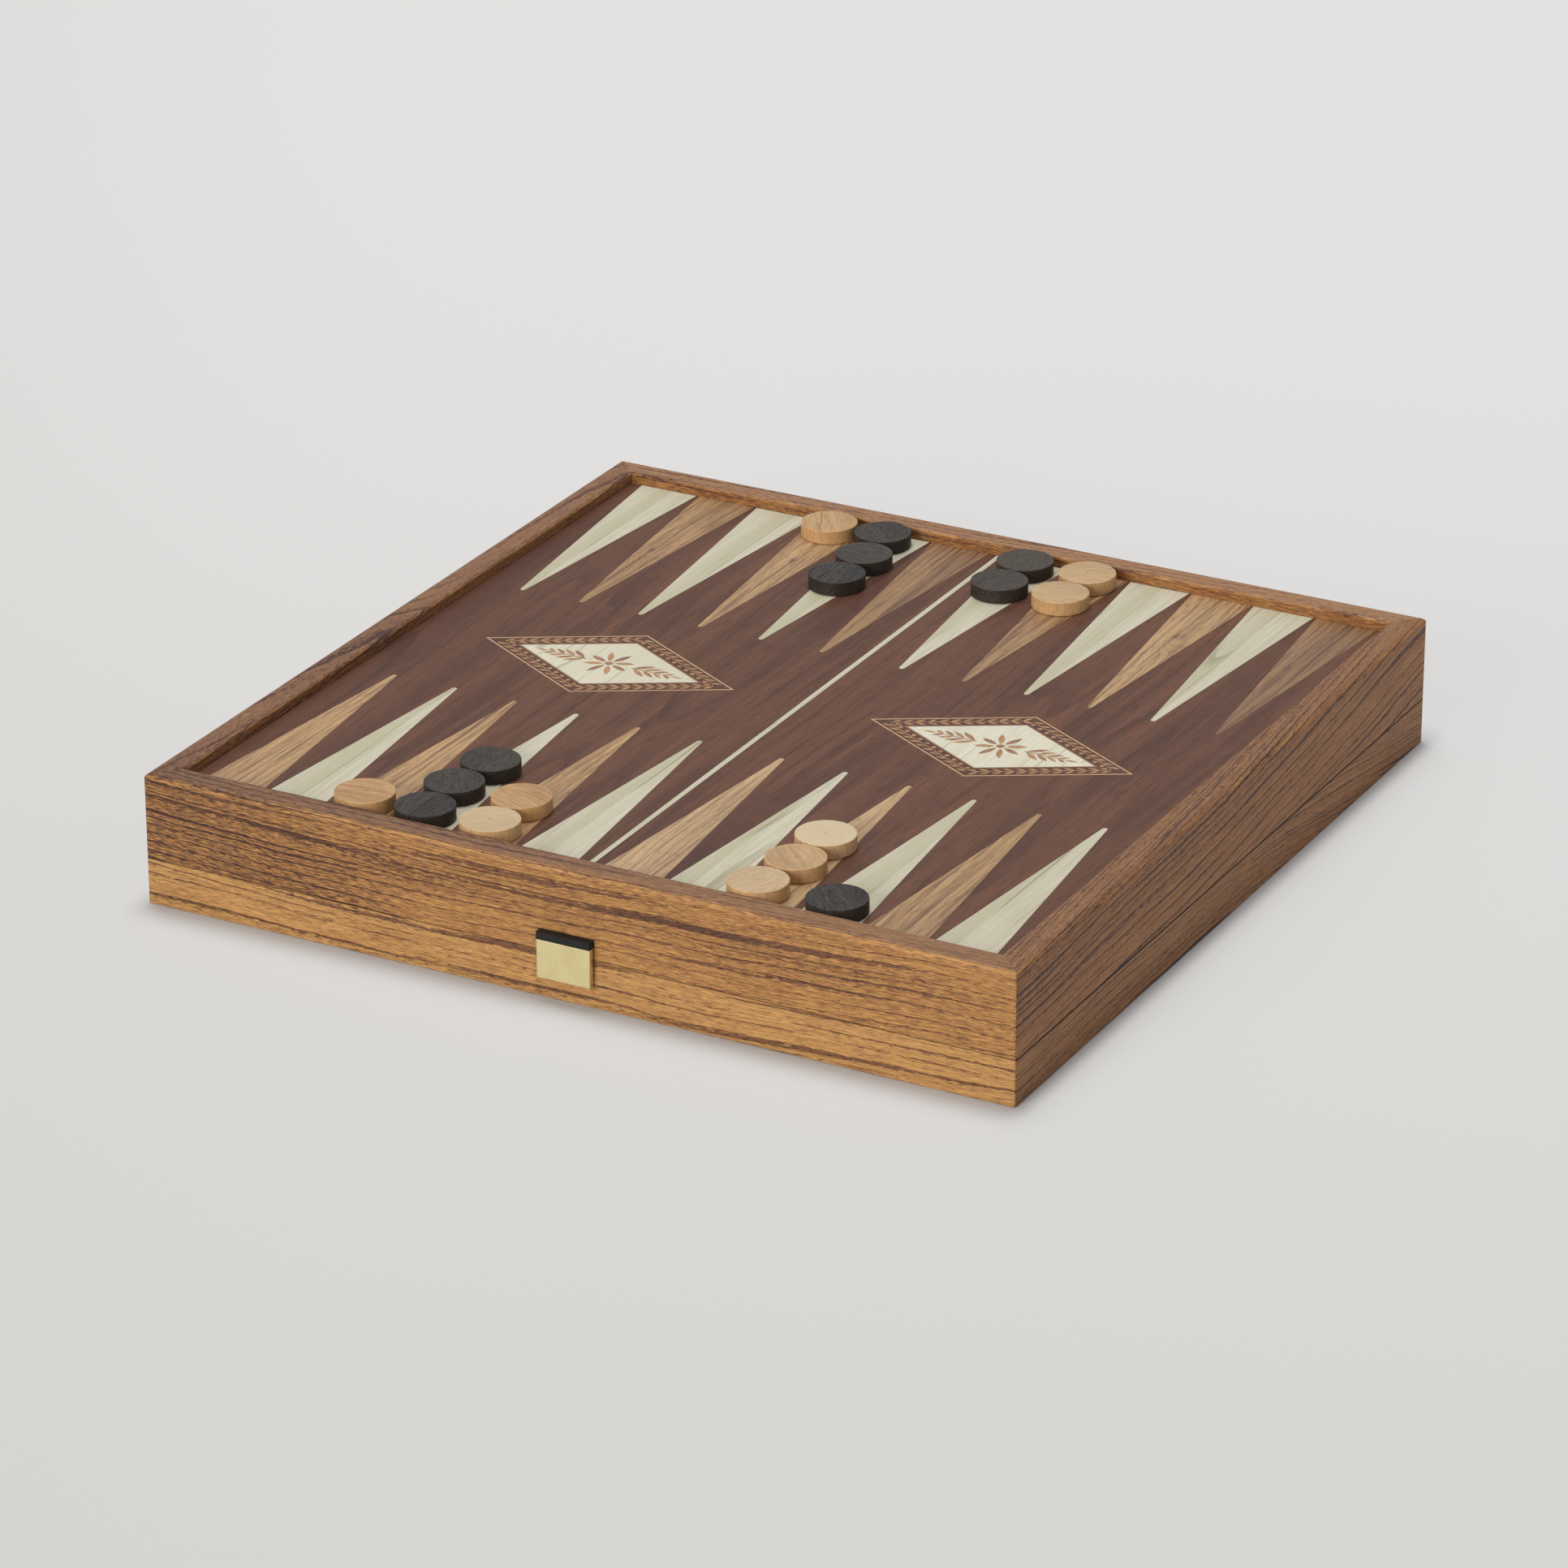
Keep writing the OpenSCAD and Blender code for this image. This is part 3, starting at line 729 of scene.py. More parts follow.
@dataclass(frozen=True)
class Laminate(Finish):
    """Birch plywood face with broad soft grain."""

    pale: Colour = (206, 178, 138)
    dark: Colour = (178, 142, 100)

    def paint(self, shader: Shader) -> None:
        """Build the nodes of the material.

        Args:
            shader: Shader of the material.
        """
        x, y, z = shader.place()
        warp = shader.noise((x * 3.0, y * 12.0, z * 30.0))
        level = (y * 60.0 + warp * 9.0).fraction()
        fine = shader.noise((x * 20.0, y * 520.0, z * 1200.0), 3.0, 0.6)
        colour = shader.coats(self.pale, (shader.step(level, 0.30, 0.95) * 0.6, self.dark),
                              (shader.step(fine, 0.40, 0.70) * 0.5, self.dark))
        shader.dress(colour, 0.55 + fine * 0.15)
        shader.relief(fine, 0.00006, 0.4)


@dataclass(frozen=True)
class Grain:
    """Noise that lays a colour on a finish where it rises from low to high."""

    colour: Colour
    cells: Point
    low: float
    high: float
    share: float = 1.0
    detail: float = 2.0
    fineness: float = 0.5
    bend: float = 0.0
    level: float = 0.0
    rough: float = 0.0


@dataclass(frozen=True)
class Grained(Finish):
    """Even finish with layers of grain, one of which is also its relief."""

    base: Colour
    grains: Tuple[Grain, ...]
    rough: float
    depth: float
    strength: float
    raised: int = 0
    metallic: float = 0.0
    specular: float = 0.5
    sheen: float = 0.0
    sheen_rough: float = 0.5

    def paint(self, shader: Shader) -> None:
        """Build the nodes of the material.

        Args:
            shader: Shader of the material.
        """
        x, y, z = shader.place()
        colour, rough, heights = self.base, self.rough, []
        for grain in self.grains:
            cells = grain.cells
            noise = shader.noise((x * cells[0], y * cells[1], z * cells[2] + grain.level),
                                 grain.detail, grain.fineness, grain.bend)
            colour = shader.coats(
                colour, (shader.step(noise, grain.low, grain.high) * grain.share, grain.colour))
            rough = rough + noise * grain.rough if grain.rough else rough
            heights.append(noise)
        shader.dress(colour, rough, Metallic=self.metallic, Specular_IOR_Level=self.specular,
                     Sheen_Weight=self.sheen, Sheen_Roughness=self.sheen_rough)
        shader.relief(heights[self.raised], self.depth, self.strength)


def marquetry(light: Colour, dark: Colour) -> Grained:
    """Make the finish of the small cut veneer of the medallions."""
    return Grained(light, (Grain(dark, (800.0, 45.0, 0.0), 0.38, 0.66, rough=0.12),
                           Grain(light, (180.0, 180.0, 0.0), 0.40, 0.65, 0.5, level=4.0)),
                   0.38, 0.00003, 0.3)


def metal(base: Colour, dull: Colour, rough: float, brushed: Point = (900.0, 900.0, 900.0),
          depth: float = 0.00003) -> Grained:
    """Make the finish of a metal with a brushed or blasted face and a few handling marks.

    Args:
        base: Colour of the clean metal.
        dull: Colour of the handling marks.
        rough: Roughness.
        brushed: Cells of the brushing to the metre, few along its strokes.
        depth: Depth of the brushing in metres.

    Returns:
        The finish.
    """
    marks = Grain(dull, (130.0, 130.0, 130.0), 0.36, 0.72, 0.55, 3.0, 0.6, rough=0.06)
    strokes = Grain(dull, brushed, 0.42, 0.70, 0.25, 3.0, 0.6, rough=0.10)
    return Grained(base, (marks, strokes), rough, depth, 0.35, raised=1, metallic=1.0)


def rubber(base: Colour, light: Colour) -> Grained:
    """Make the finish of matt black rubber with a fine moulded grain."""
    return Grained(base, (Grain(light, (2600.0, 2600.0, 2600.0), 0.40, 0.75, 0.5, 2.0, 0.6,
                                rough=0.15),
                          Grain(light, (200.0, 200.0, 200.0), 0.45, 0.75, 0.3)),
                   0.55, 0.00003, 0.4, specular=0.25)


FELT = Grained((46, 66, 56),
               (Grain((74, 98, 84), (1400.0, 1400.0, 1400.0), 0.35, 0.72, 1.0, 4.0, 0.75, 1.5),
                Grain((46, 66, 56), (60.0, 60.0, 60.0), 0.40, 0.70, 0.35, 3.0, 0.6)),
               0.95, 0.0003, 0.7, specular=0.2, sheen=0.2, sheen_rough=0.6)
RESIN = Grained((226, 216, 190),
                (Grain((206, 192, 160), (210.0, 210.0, 90.0), 0.40, 0.72, 0.6, 3.0, 0.6, 0.8,
                       rough=0.12),), 0.22, 0.00002, 0.2)


@dataclass(frozen=True)
class PaperFloor(Finish):
    """Pale seamless studio floor, painted lighter to the back and darker to the left as a falloff
    of light, with its shadow lifted for the camera.
    """

    near: Colour = (213, 212, 210)
    far: Colour = (231, 230, 229)
    left: Colour = (197, 196, 193)
    shadow_tint: Colour = (206, 210, 216)
    half_side: float = 0.205
    contact: float = 0.04
    lift: float = 0.66
    lifted: float = 0.022
    lifted_aside: float = 2.2
    lift_starts: float = 1.0
    lift_ends: float = 4.0

    def paint(self, shader: Shader) -> None:
        """Build the nodes of the material.

        Args:
            shader: Shader of the material.
        """
        x, y, z = shader.place()
        cloud = shader.noise((x * 2.2, y * 2.2, z), 3.0)
        # Painted falloff of light: the floor is painted lighter towards the back and darker towards
        # the left.
        back = shader.step(y * 1.1 - x * 0.05 + (cloud - 0.5) * 0.1, -1.1, 1.3)
        grain = shader.noise((x * 700.0, y * 700.0, z))
        left = shader.step(x * 0.88 + y * 0.47, -0.15, -0.75)
        aside = (abs(x) - self.half_side).highest(0.0) * self.lifted_aside
        ahead = (abs(y) - self.half_side).highest(0.0)
        away = (aside * aside + ahead * ahead) ** 0.5
        close = shader.step(away, self.lifted, 0.0)
        # Painted shade: close to the box, where its shadow falls, the floor is painted a cooler
        # tint.
        colour = shader.coats(self.near, (back, self.far), (left * 0.25, self.left),
                              (close * 0.5, self.shadow_tint),
                              (shader.step(grain, 0.40, 0.70) * 0.10, self.near))
        shader.dress(colour, 0.9, Specular_IOR_Level=0.1)
        glow = shader.node("ShaderNodeEmission", values={"Color": colour})
        shader.show(shader.surface, glow, self.lift + close * (self.contact - self.lift)
                    + shader.step(away, self.lift_starts, self.lift_ends) * (1.0 - self.lift))


class Shape:
    """Bmesh in millimetres, with the cuts and eased edges that a joiner makes."""

    def __init__(self) -> None:
        """Start empty."""
        self.mesh = bmesh.new()

    def block(self, low: Sequence[float], high: Sequence[float]) -> "Shape":
        """Add a box.

        Args:
            low: Its lowest corner.
            high: Its highest corner.

        Returns:
            This shape.
        """
        low, high = Vector(low), Vector(high)
        matrix = Matrix.Translation((high + low) / 2) @ Matrix.Diagonal((*(high - low), 1.0))
        bmesh.ops.create_cube(self.mesh, size=1.0, matrix=matrix)
        return self

    def prism(self, outline: Sequence[Sequence[float]], run: Sequence[float]) -> "Shape":
        """Add the solid that a section, given by its corners, makes along a run."""
        face = self.mesh.faces.new([self.mesh.verts.new(corner) for corner in outline])
        return self.extrude([face], run)

    def extrude(self, faces: Sequence[bmesh.types.BMFace], run: Sequence[float]) -> "Shape":
        """Grow faces into a solid.

        Args:
            faces: Faces at its start.
            run: How far and where to they are extruded.

        Returns:
            This shape.
        """
        grown = bmesh.ops.extrude_face_region(self.mesh, geom=faces, use_keep_orig=True)
        far = [item for item in grown["geom"] if isinstance(item, bmesh.types.BMVert)]
        bmesh.ops.translate(self.mesh, vec=run, verts=far)
        return self

    def lathe(self, profile: Sequence[Tuple[float, float]], matrix: Matrix,
              steps: int) -> "Shape":
        """Add a turned solid.

        Args:
            profile: Radius and height of each point, from one end to the other.
            matrix: Where the lathe's axis, Z, comes to lie.
            steps: Steps of the full turn.

        Returns:
            This shape.
        """
        spun = bmesh.new()
        dots = [spun.verts.new((radius, 0.0, height)) for radius, height in profile]
        for first, second in zip(dots, dots[1:]):
            spun.edges.new((first, second))
        bmesh.ops.spin(spun, geom=spun.verts[:] + spun.edges[:], cent=(0, 0, 0), axis=(0, 0, 1),
                       angle=2 * math.pi, steps=steps, use_merge=True)
        bmesh.ops.remove_doubles(spun, verts=spun.verts, dist=MERGED)
        bmesh.ops.recalc_face_normals(spun, faces=spun.faces)
        bmesh.ops.transform(spun, matrix=matrix, verts=spun.verts)
        return self.join(spun)

    def join(self, other: bmesh.types.BMesh) -> "Shape":
        """Take in another bmesh.

        Args:
            other: The bmesh, which is freed.

        Returns:
            This shape.
        """
        store = bpy.data.meshes.new("joined")
        other.to_mesh(store)
        other.free()
        self.mesh.from_mesh(store)
        bpy.data.meshes.remove(store)
        return self

    def ease(self, size: Round, chosen: Optional[EdgeTest] = None) -> "Shape":
        """Round sharp edges.

        Args:
            size: Radius of the rounding and the number of facets across it.
            chosen: Test on the ends of an edge, or nothing for all sharp edges.

        Returns:
            This shape.
        """
        self.mesh.normal_update()
        edges = [edge for edge in self.mesh.edges
                 if len(edge.link_faces) == 2 and edge.calc_face_angle(0.0) > SHARP
                 and (chosen is None or chosen(edge.verts[0].co, edge.verts[1].co))]
        bmesh.ops.bevel(self.mesh, geom=edges, offset=size[0], segments=size[1], profile=0.5,
                        affect="EDGES", material=-1, clamp_overlap=True)
        return self

    def saw(self, point: Sequence[float], normal: Sequence[float]) -> "Shape":
        """Cut off what lies beyond a plane, and close the cut.

        Args:
            point: Point of the plane.
            normal: Direction of the side that falls off.

        Returns:
            This shape.
        """
        geometry = self.mesh.verts[:] + self.mesh.edges[:] + self.mesh.faces[:]
        cut = bmesh.ops.bisect_plane(self.mesh, geom=geometry, dist=ON_PLANE,
                                     plane_co=point, plane_no=normal, clear_outer=True)
        rim = [item for item in cut["geom_cut"] if isinstance(item, bmesh.types.BMEdge)]
        bmesh.ops.edgeloop_fill(self.mesh, edges=rim)
        return self

    def turn(self, degrees: float) -> "Shape":
        """Turn the whole shape about Z."""
        bmesh.ops.rotate(self.mesh, cent=(0, 0, 0), verts=self.mesh.verts,
                         matrix=turned(degrees, "Z").to_3x3())
        return self

    def carve(self, tool: "Shape") -> "Shape":
        """Cut another shape out of this one.

        Args:
            tool: The other shape, which is freed.

        Returns:
            This shape.
        """
        pair = []
        for shape in (self, tool):
            mesh = bpy.data.meshes.new("carving")
            shape.mesh.to_mesh(mesh)
            # Two empty slots let the cut keep the material index of each face.
            for _ in range(2):
                mesh.materials.append(None)
            pair.append(bpy.data.objects.new("carving", mesh))
            bpy.context.scene.collection.objects.link(pair[-1])
        cut = pair[0].modifiers.new("cut", "BOOLEAN")
        cut.operation, cut.solver, cut.object = "DIFFERENCE", "EXACT", pair[1]
        bpy.context.view_layer.update()
        carved = pair[0].evaluated_get(bpy.context.evaluated_depsgraph_get())
        self.mesh.clear()
        self.mesh.from_mesh(carved.to_mesh())
        carved.to_mesh_clear()
        tool.mesh.free()
        for thing in pair:
            bpy.data.meshes.remove(thing.data)
        return self


@dataclass
class SubAssembly:
    """Common sizes and work of the sub-assemblies."""

    half_side: float = 205.0
    seam_z: float = 21.0
    hinge_x: float = 130.0
    leaf_t: float = 1.2
    room: float = 1.0

    def finish(self, name: str, shape: Shape, slot: Slot,
               materials: Sequence[bpy.types.Material], body: str,
               stands_for: Sequence[str] = ()) -> bpy.types.Object:
        """Turn a shape into a finished piece.

        Args:
            name: Name of the piece.
            shape: Shape in millimetres, which is used up.
            slot: Material slot of the record; not used.
            materials: Materials by the index of the faces.
            body: Body that the piece rides on.
            stands_for: Nodes of the construction that the piece replaces.

        Returns:
            The piece.
        """
        bmesh.ops.recalc_face_normals(shape.mesh, faces=shape.mesh.faces)
        bmesh.ops.scale(shape.mesh, vec=(MM, MM, MM), verts=shape.mesh.verts)
        mesh = bpy.data.meshes.new(name)
        shape.mesh.to_mesh(mesh)
        shape.mesh.free()
        mesh.shade_smooth()
        mesh.set_sharp_from_angle(angle=SMOOTH)
        for material in materials:
            mesh.materials.append(material)
        piece = bpy.data.objects.new(name, mesh)
        bpy.context.scene.collection.objects.link(piece)
        normals = piece.modifiers.new("flat_faces", "WEIGHTED_NORMAL")
        normals.keep_sharp = True
        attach(piece, body)
        if stands_for:
            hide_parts(*stands_for)
        LOG.info("%s: %d faces, rides on %s", name, len(mesh.polygons), body)
        return piece

    def dress_node(self, name: str, material: bpy.types.Material,
                   edge: Optional[Round] = None) -> None:
        """Give a node of the construction its material.

        Args:
            name: Name of the node.
            material: Its material.
            edge: Rounding of its edges, or nothing.
        """
        thing = bpy.data.objects[name]
        for place in thing.material_slots:
            place.material = material
        if edge:
            weld = thing.modifiers.new("weld", "WELD")
            weld.merge_threshold = WELDED
            bevel = thing.modifiers.new("ease", "BEVEL")
            bevel.width, bevel.segments, bevel.limit_method = edge[0] * MM, edge[1], "ANGLE"
        LOG.info("%s: keeps its shape, gets %s", name, material.name)


@dataclass
class BoxWalls(SubAssembly):
    """Mitred walls of the lid and the base."""

    top: float = 60.0
    wall_t: float = 13.0
    rim: Round = (3.0, 7)
    inner_rim: Round = (1.5, 5)
    corner: Round = (1.5, 5)
    seam_edge: Round = (0.5, 3)
    front_seam_edge: Round = (0.25, 3)
    foot: Round = (0.5, 2)
    seam_gap: float = 0.07
    mitre_gap: float = 0.05
    floor_t: float = 4.0
    floor_lap: float = 6.0
    panel_z: float = 49.2
    panel_t: float = 5.0
    panel_lap: float = 5.0
    mortise_w: float = 30.6
    mortise_h: float = 11.3
    reach: float = 2.0
    turns: Dict[str, float] = field(default_factory=lambda: {
        "front": 0.0, "right": 90.0, "back": 180.0, "left": 270.0})
    boards: Dict[str, Walnut] = field(default_factory=lambda: {
        "lid_front": Walnut(0.0, (0.10, 0.205, 0.000), -0.010, bow=-0.12, streaks=1.0,
                            trend=0.95, light=(194, 144, 84), middle=(162, 114, 68),
                            brown=(94, 58, 42), rim_top_sheen=(88, 64, 59), fibres=1.0),
        "lid_right": Walnut(-90.0, (1.30, 0.205, 0.060), -0.080, 0.0022, streaks=0.50,
                            light=(177, 124, 73), middle=(151, 99, 58), brown=(89, 58, 43),
                            glow=(214, 158, 98), rim_top_sheen=(114, 84, 60), fibres=0.45, run=90.0,
                            keen=0.24, seam_shadow=0.95),
        "lid_back": Walnut(-180.0, (2.70, 0.205, 0.100), -0.040, streaks=0.5,
                           light=(186, 132, 76), middle=(153, 102, 57), rim_top_sheen=(144, 112, 89)),
        "lid_left": Walnut(-270.0, (3.90, 0.205, 0.050), 0.044, 0.0027, streaks=0.9,
                           light=(168, 120, 76), middle=(138, 94, 60), rim_top_sheen=(104, 75, 62)),
        "base_front": Walnut(0.0, (0.10, 0.205, 0.000), -0.010, 0.0034, -0.12, streaks=0.22,
                             trend=0.65, light=(212, 164, 102), middle=(184, 136, 82)),
        "base_right": Walnut(-90.0, (6.30, 0.205, 0.250), 0.044, 0.0032, 0.22, streaks=0.6,
                             light=(174, 124, 75), middle=(148, 99, 59), brown=(88, 58, 44),
                             glow=(214, 158, 100), fibres=0.45, run=90.0, keen=0.24,
                             seam_shadow=0.95),
        "base_back": Walnut(-180.0, (7.50, 0.205, 0.050), -0.030, streaks=0.6),
        "base_left": Walnut(-270.0, (8.70, 0.205, 0.060), 0.030, 0.0027, streaks=0.6)})

    def section(self, part: Part) -> List[Tuple[float, float]]:
        """List the corners of a wall's section.

        Args:
            part: Body that the wall belongs to.

        Returns:
            How far in from the outside and how high each corner is.
        """
        if part is Part.BASE:
            lap = self.wall_t - self.floor_lap
            upper = self.seam_z - self.seam_gap
            return [(0.0, 0.0), (lap, 0.0), (lap, self.floor_t), (self.wall_t, self.floor_t),
                    (self.wall_t, upper), (0.0, upper)]
        lap = self.wall_t - self.panel_lap
        lower = self.seam_z + self.seam_gap
        groove_top = self.panel_z + self.panel_t
        return [(0.0, lower), (self.wall_t, lower), (self.wall_t, self.panel_z),
                (lap, self.panel_z), (lap, groove_top), (self.wall_t, groove_top),
                (self.wall_t, self.top), (0.0, self.top)]

    def board(self, part: Part, seam: Round) -> Shape:
        """Make a wall as it lies along the front.

        Args:
            part: Body that the wall belongs to.
            seam: Rounding of its outer edge at the seam.

        Returns:
            Its shape, mitred, with its edges rounded.
        """
        outside, inside = -self.half_side, self.wall_t - self.half_side
        outline = [(outside, across + outside, up) for across, up in self.section(part)]
        shape = Shape().prism(outline, (2 * self.half_side, 0.0, 0.0))
        bmesh.ops.recalc_face_normals(shape.mesh, faces=shape.mesh.faces)
        if part is Part.LID:
            shape.ease(self.rim, edges_at(y=outside, z=self.top))
            shape.ease(self.inner_rim, edges_at(y=inside, z=self.top))
            shape.ease(seam, edges_at(y=outside, z=self.seam_z + self.seam_gap))
        else:
            shape.ease(seam, edges_at(y=outside, z=self.seam_z - self.seam_gap))
            shape.ease(self.foot, edges_at(y=outside, z=0.0))
        radius, cuts = self.corner
        for side in (-1, 1):
            middle = Vector((side, -1, 0)) * (self.half_side - radius)
            for cut in range(1, cuts + 1):
                angle = math.radians(45.0) * cut / cuts
                normal = Vector((side * math.sin(angle), -math.cos(angle), 0.0))
                shape.saw(middle + normal * radius, normal)
            shape.saw((side * (self.half_side - self.mitre_gap), outside, 0.0), (side, 1.0, 0.0))
        return shape

    def mortises(self, part: Part) -> Shape:
        """Make the tool that cuts the room for the hinges into a back wall.

        Args:
            part: Body that the wall belongs to.

        Returns:
            The tool.
        """
        tool = Shape()
        low, high = ((self.seam_z - self.mortise_h, self.seam_z + self.reach)
                     if part is Part.BASE
                     else (self.seam_z - self.reach, self.seam_z + self.mortise_h))
        for x in (-self.hinge_x, self.hinge_x):
            tool.block((x - self.mortise_w / 2, self.half_side - self.leaf_t, low),
                       (x + self.mortise_w / 2, self.half_side + self.reach, high))
        return tool

    def build(self) -> None:
        """Build the eight walls."""
        for part in Part:
            for side, turn in self.turns.items():
                seam = self.front_seam_edge if side == "front" else self.seam_edge
                shape = self.board(part, seam).turn(turn)
                if side == "back":
                    shape.carve(self.mortises(part))
                name = f"{part.value}_{side}"
                material = self.boards[name].material(f"walnut_{name}")
                self.finish(f"{name}_board", shape, Slot.WALNUT, [material], part.value,
                            [f"{name}_wall"])


@dataclass
class PlayingField(SubAssembly):
    """Veneered field with its points, centre strip and two medallions."""

    field_z: float = 54.8
    proud: float = 0.03
    inlay_t: float = 0.3
    medallion_x: float = 95.8
    half_length: float = 62.5
    half_width: float = 35.3
    band: float = 8.8
    pairs: int = 12
    first_pair: float = 0.28
    leaf_length: float = 4.9
    leaf_width: float = 2.2
    leaf_belly: float = 0.42
    leaf_round: float = 0.34
    leaf_facets: int = 5
    leaf_lean: float = 27.0
    leaf_out: float = 0.5
    stem_width: float = 0.5
    stem_inset: float = 2.0
    berry_r: float = 1.05
    berry_sides: int = 12
    berry_along: float = 0.45
    berry_out: float = 1.75
    petals: int = 8
    petal_out: float = 2.4
    petal_width: float = 4.4
    petal_lengths: Tuple[float, ...] = (9.2, 10.4, 10.4, 9.2)
    heart_r: float = 1.9
    spray_stem: Tuple[Tuple[float, float], ...] = ((11.4, -0.4), (31.0, -0.2), (31.0, 0.2),
                                                   (11.4, 0.4))
    spray_leaves: Tuple[float, ...] = (9.6, 8.4, 6.8, 5.0)
    spray_start: float = 12.6
    spray_pitch: float = 4.9
    spray_out: float = 0.45
    spray_lean: float = 36.0
    spray_rise: float = 3.0
    spray_width: float = 4.0
    spray_taper: float = 0.5
    tip_x: float = 30.6
    tip_size: Tuple[float, float] = (6.4, 2.2)

    def inlay(self, shape: Shape, outline: Sequence[Tuple[float, float]], place: Matrix,
              rounded: Sequence[int] = (), radius: float = 0.0, index: int = 0) -> None:
        """Add a small flat inlay to a shape.

        Args:
            shape: Shape that takes it in.
            outline: Corners in the inlay's own plane.
            place: Where its plane comes to lie on the field.
            rounded: Corners that are rounded, by their place in the outline.
            radius: How far back along the outline the rounding starts.
            index: Index of its material.
        """
        inlay = Shape()
        cut = inlay.mesh
        corners = [cut.verts.new((x, y, 0.0)) for x, y in outline]
        cut.faces.new(corners)
        if rounded:
            bmesh.ops.bevel(cut, geom=[corners[i] for i in rounded], offset=radius,
                            segments=self.leaf_facets, profile=0.5, affect="VERTICES",
                            material=-1)
        inlay.extrude(cut.faces[:], (0.0, 0.0, self.inlay_t))
        floor = moved(0.0, 0.0, self.field_z + self.proud - self.inlay_t)
        bmesh.ops.transform(cut, matrix=floor @ place, verts=cut.verts)
        for face in cut.faces:
            face.material_index = index
        shape.join(cut)

    def leaf(self, shape: Shape, place: Matrix, length: float, width: float,
             index: int = 0) -> None:
        """Add a pointed leaf that starts at the place's origin and runs along its X."""
        outline = [(0.0, 0.0), (length * self.leaf_belly, -width / 2), (length, 0.0),
                   (length * self.leaf_belly, width / 2)]
        self.inlay(shape, outline, place, (1, 3), length * self.leaf_round, index)

    def berry(self, shape: Shape, place: Matrix, radius: float, index: int = 0) -> None:
        """Add a round berry about the place's origin."""
        angles = [2 * math.pi * i / self.berry_sides for i in range(self.berry_sides)]
        self.inlay(shape, [(radius * math.cos(angle), radius * math.sin(angle))
                           for angle in angles], place, index=index)

    def border(self, shape: Shape, centre: Vector) -> None:
        """Lay the laurel band into a medallion's border.

        Args:
            shape: Shape that takes the leaves in.
            centre: Middle of the medallion.
        """
        scale_in = 1 - self.band / 2 * math.hypot(self.half_length, self.half_width) / (
            self.half_length * self.half_width)
        corners = [Vector((-self.half_length, 0, 0)), Vector((0, self.half_width, 0)),
                   Vector((self.half_length, 0, 0)), Vector((0, -self.half_width, 0))]
        for side in range(4):
            start = corners[side] * scale_in
            run = corners[(side + 1) % 4] * scale_in - start
            frame = Matrix.Translation(centre + start) @ Matrix.Rotation(
                math.atan2(run.y, run.x), 4, "Z")
            pitch = run.length / self.pairs
            near, far, half = self.stem_inset, run.length - self.stem_inset, self.stem_width / 2
            self.inlay(shape, [(near, -half), (far, -half), (far, half), (near, half)], frame)
            for i in range(self.pairs):
                along = (i + self.first_pair) * pitch
                for leaf_side in (-1, 1):
                    if leaf_side < 0 and side % 2 == 1:
                        spot = moved(along + pitch * self.berry_along,
                                     -self.berry_r * self.berry_out, 0)
                        self.berry(shape, frame @ spot, self.berry_r)
                        continue
                    spot = moved(along, self.leaf_out * leaf_side, 0) @ turned(
                        self.leaf_lean * leaf_side, "Z")
                    self.leaf(shape, frame @ spot, self.leaf_length, self.leaf_width)

    def rosette(self, shape: Shape, centre: Vector) -> None:
        """Lay a rosette with a pair of mirrored sprays into a medallion's middle.

        Args:
            shape: Shape that takes the leaves in.
            centre: Middle of the medallion.
        """
        middle = Matrix.Translation(centre)
        for i in range(self.petals):
            place = turned(360.0 / self.petals * (i + 0.5), "Z") @ moved(self.petal_out, 0.0, 0.0)
            length = self.petal_lengths[i % len(self.petal_lengths)]
            self.leaf(shape, middle @ place, length, self.petal_width, i % 2)
        self.berry(shape, middle, self.heart_r, 1)
        for side in (-1, 1):
            frame = middle @ Matrix.Diagonal((side, 1.0, 1.0, 1.0))
            self.inlay(shape, self.spray_stem, frame, index=1)
            for i, length in enumerate(self.spray_leaves):
                for lean in (-1, 1):
                    spot = moved(self.spray_start + self.spray_pitch * i,
                                 self.spray_out * lean, 0.0)
                    turn = turned((self.spray_lean - self.spray_rise * i) * lean, "Z")
                    self.leaf(shape, frame @ spot @ turn, length,
                              self.spray_width - self.spray_taper * i, (i + (lean > 0)) % 2)
            self.leaf(shape, frame @ moved(self.tip_x, 0.0, 0.0), *self.tip_size)

    def build(self) -> None:
        """Dress the flat veneers and lay in the fine marquetry."""
        oak = Oak().material("oak_points")
        front = Maple(shift=3.1).material("maple_front_points")
        back = Maple(shift=9.3).material("maple_back_points")
        border = Mahogany(shift=(0.4, 0.1, 0.0), base=(92, 62, 52))
        centre = Maple(shift=23.0, pitch=0.3, base=(222, 217, 198), shade=(204, 198, 172))
        pairs = {
            "field_veneer": Mahogany().material("mahogany_field"),
            "front_pale_points": front, "back_pale_points": back,
            "front_oak_points": oak, "back_oak_points": oak,
            "centre_strip": Maple(shift=17.0).material("maple_strip"),
            "medallion_lines": BandLine().material("medallion_stringing"),
            "medallion_borders": border.material("mahogany_border"),
            "medallion_centres": centre.material("maple_medallion")}
        for name, material in pairs.items():
            self.dress_node(name, material)
        laurel = marquetry((180, 136, 90), (136, 94, 58)).material("laurel_veneer")
        scorched = marquetry((158, 112, 78), (112, 76, 56)).material("scorched_veneer")
        for name, x in (("left", -self.medallion_x), ("right", self.medallion_x)):
            leaves, motif = Shape(), Shape()
            self.border(leaves, Vector((x, 0, 0)))
            self.rosette(motif, Vector((x, 0, 0)))
            self.finish(f"{name}_laurel_band", leaves, Slot.OAK, [laurel], Part.LID.value)
            self.finish(f"{name}_rosette", motif, Slot.OAK, [laurel, scorched], Part.LID.value)


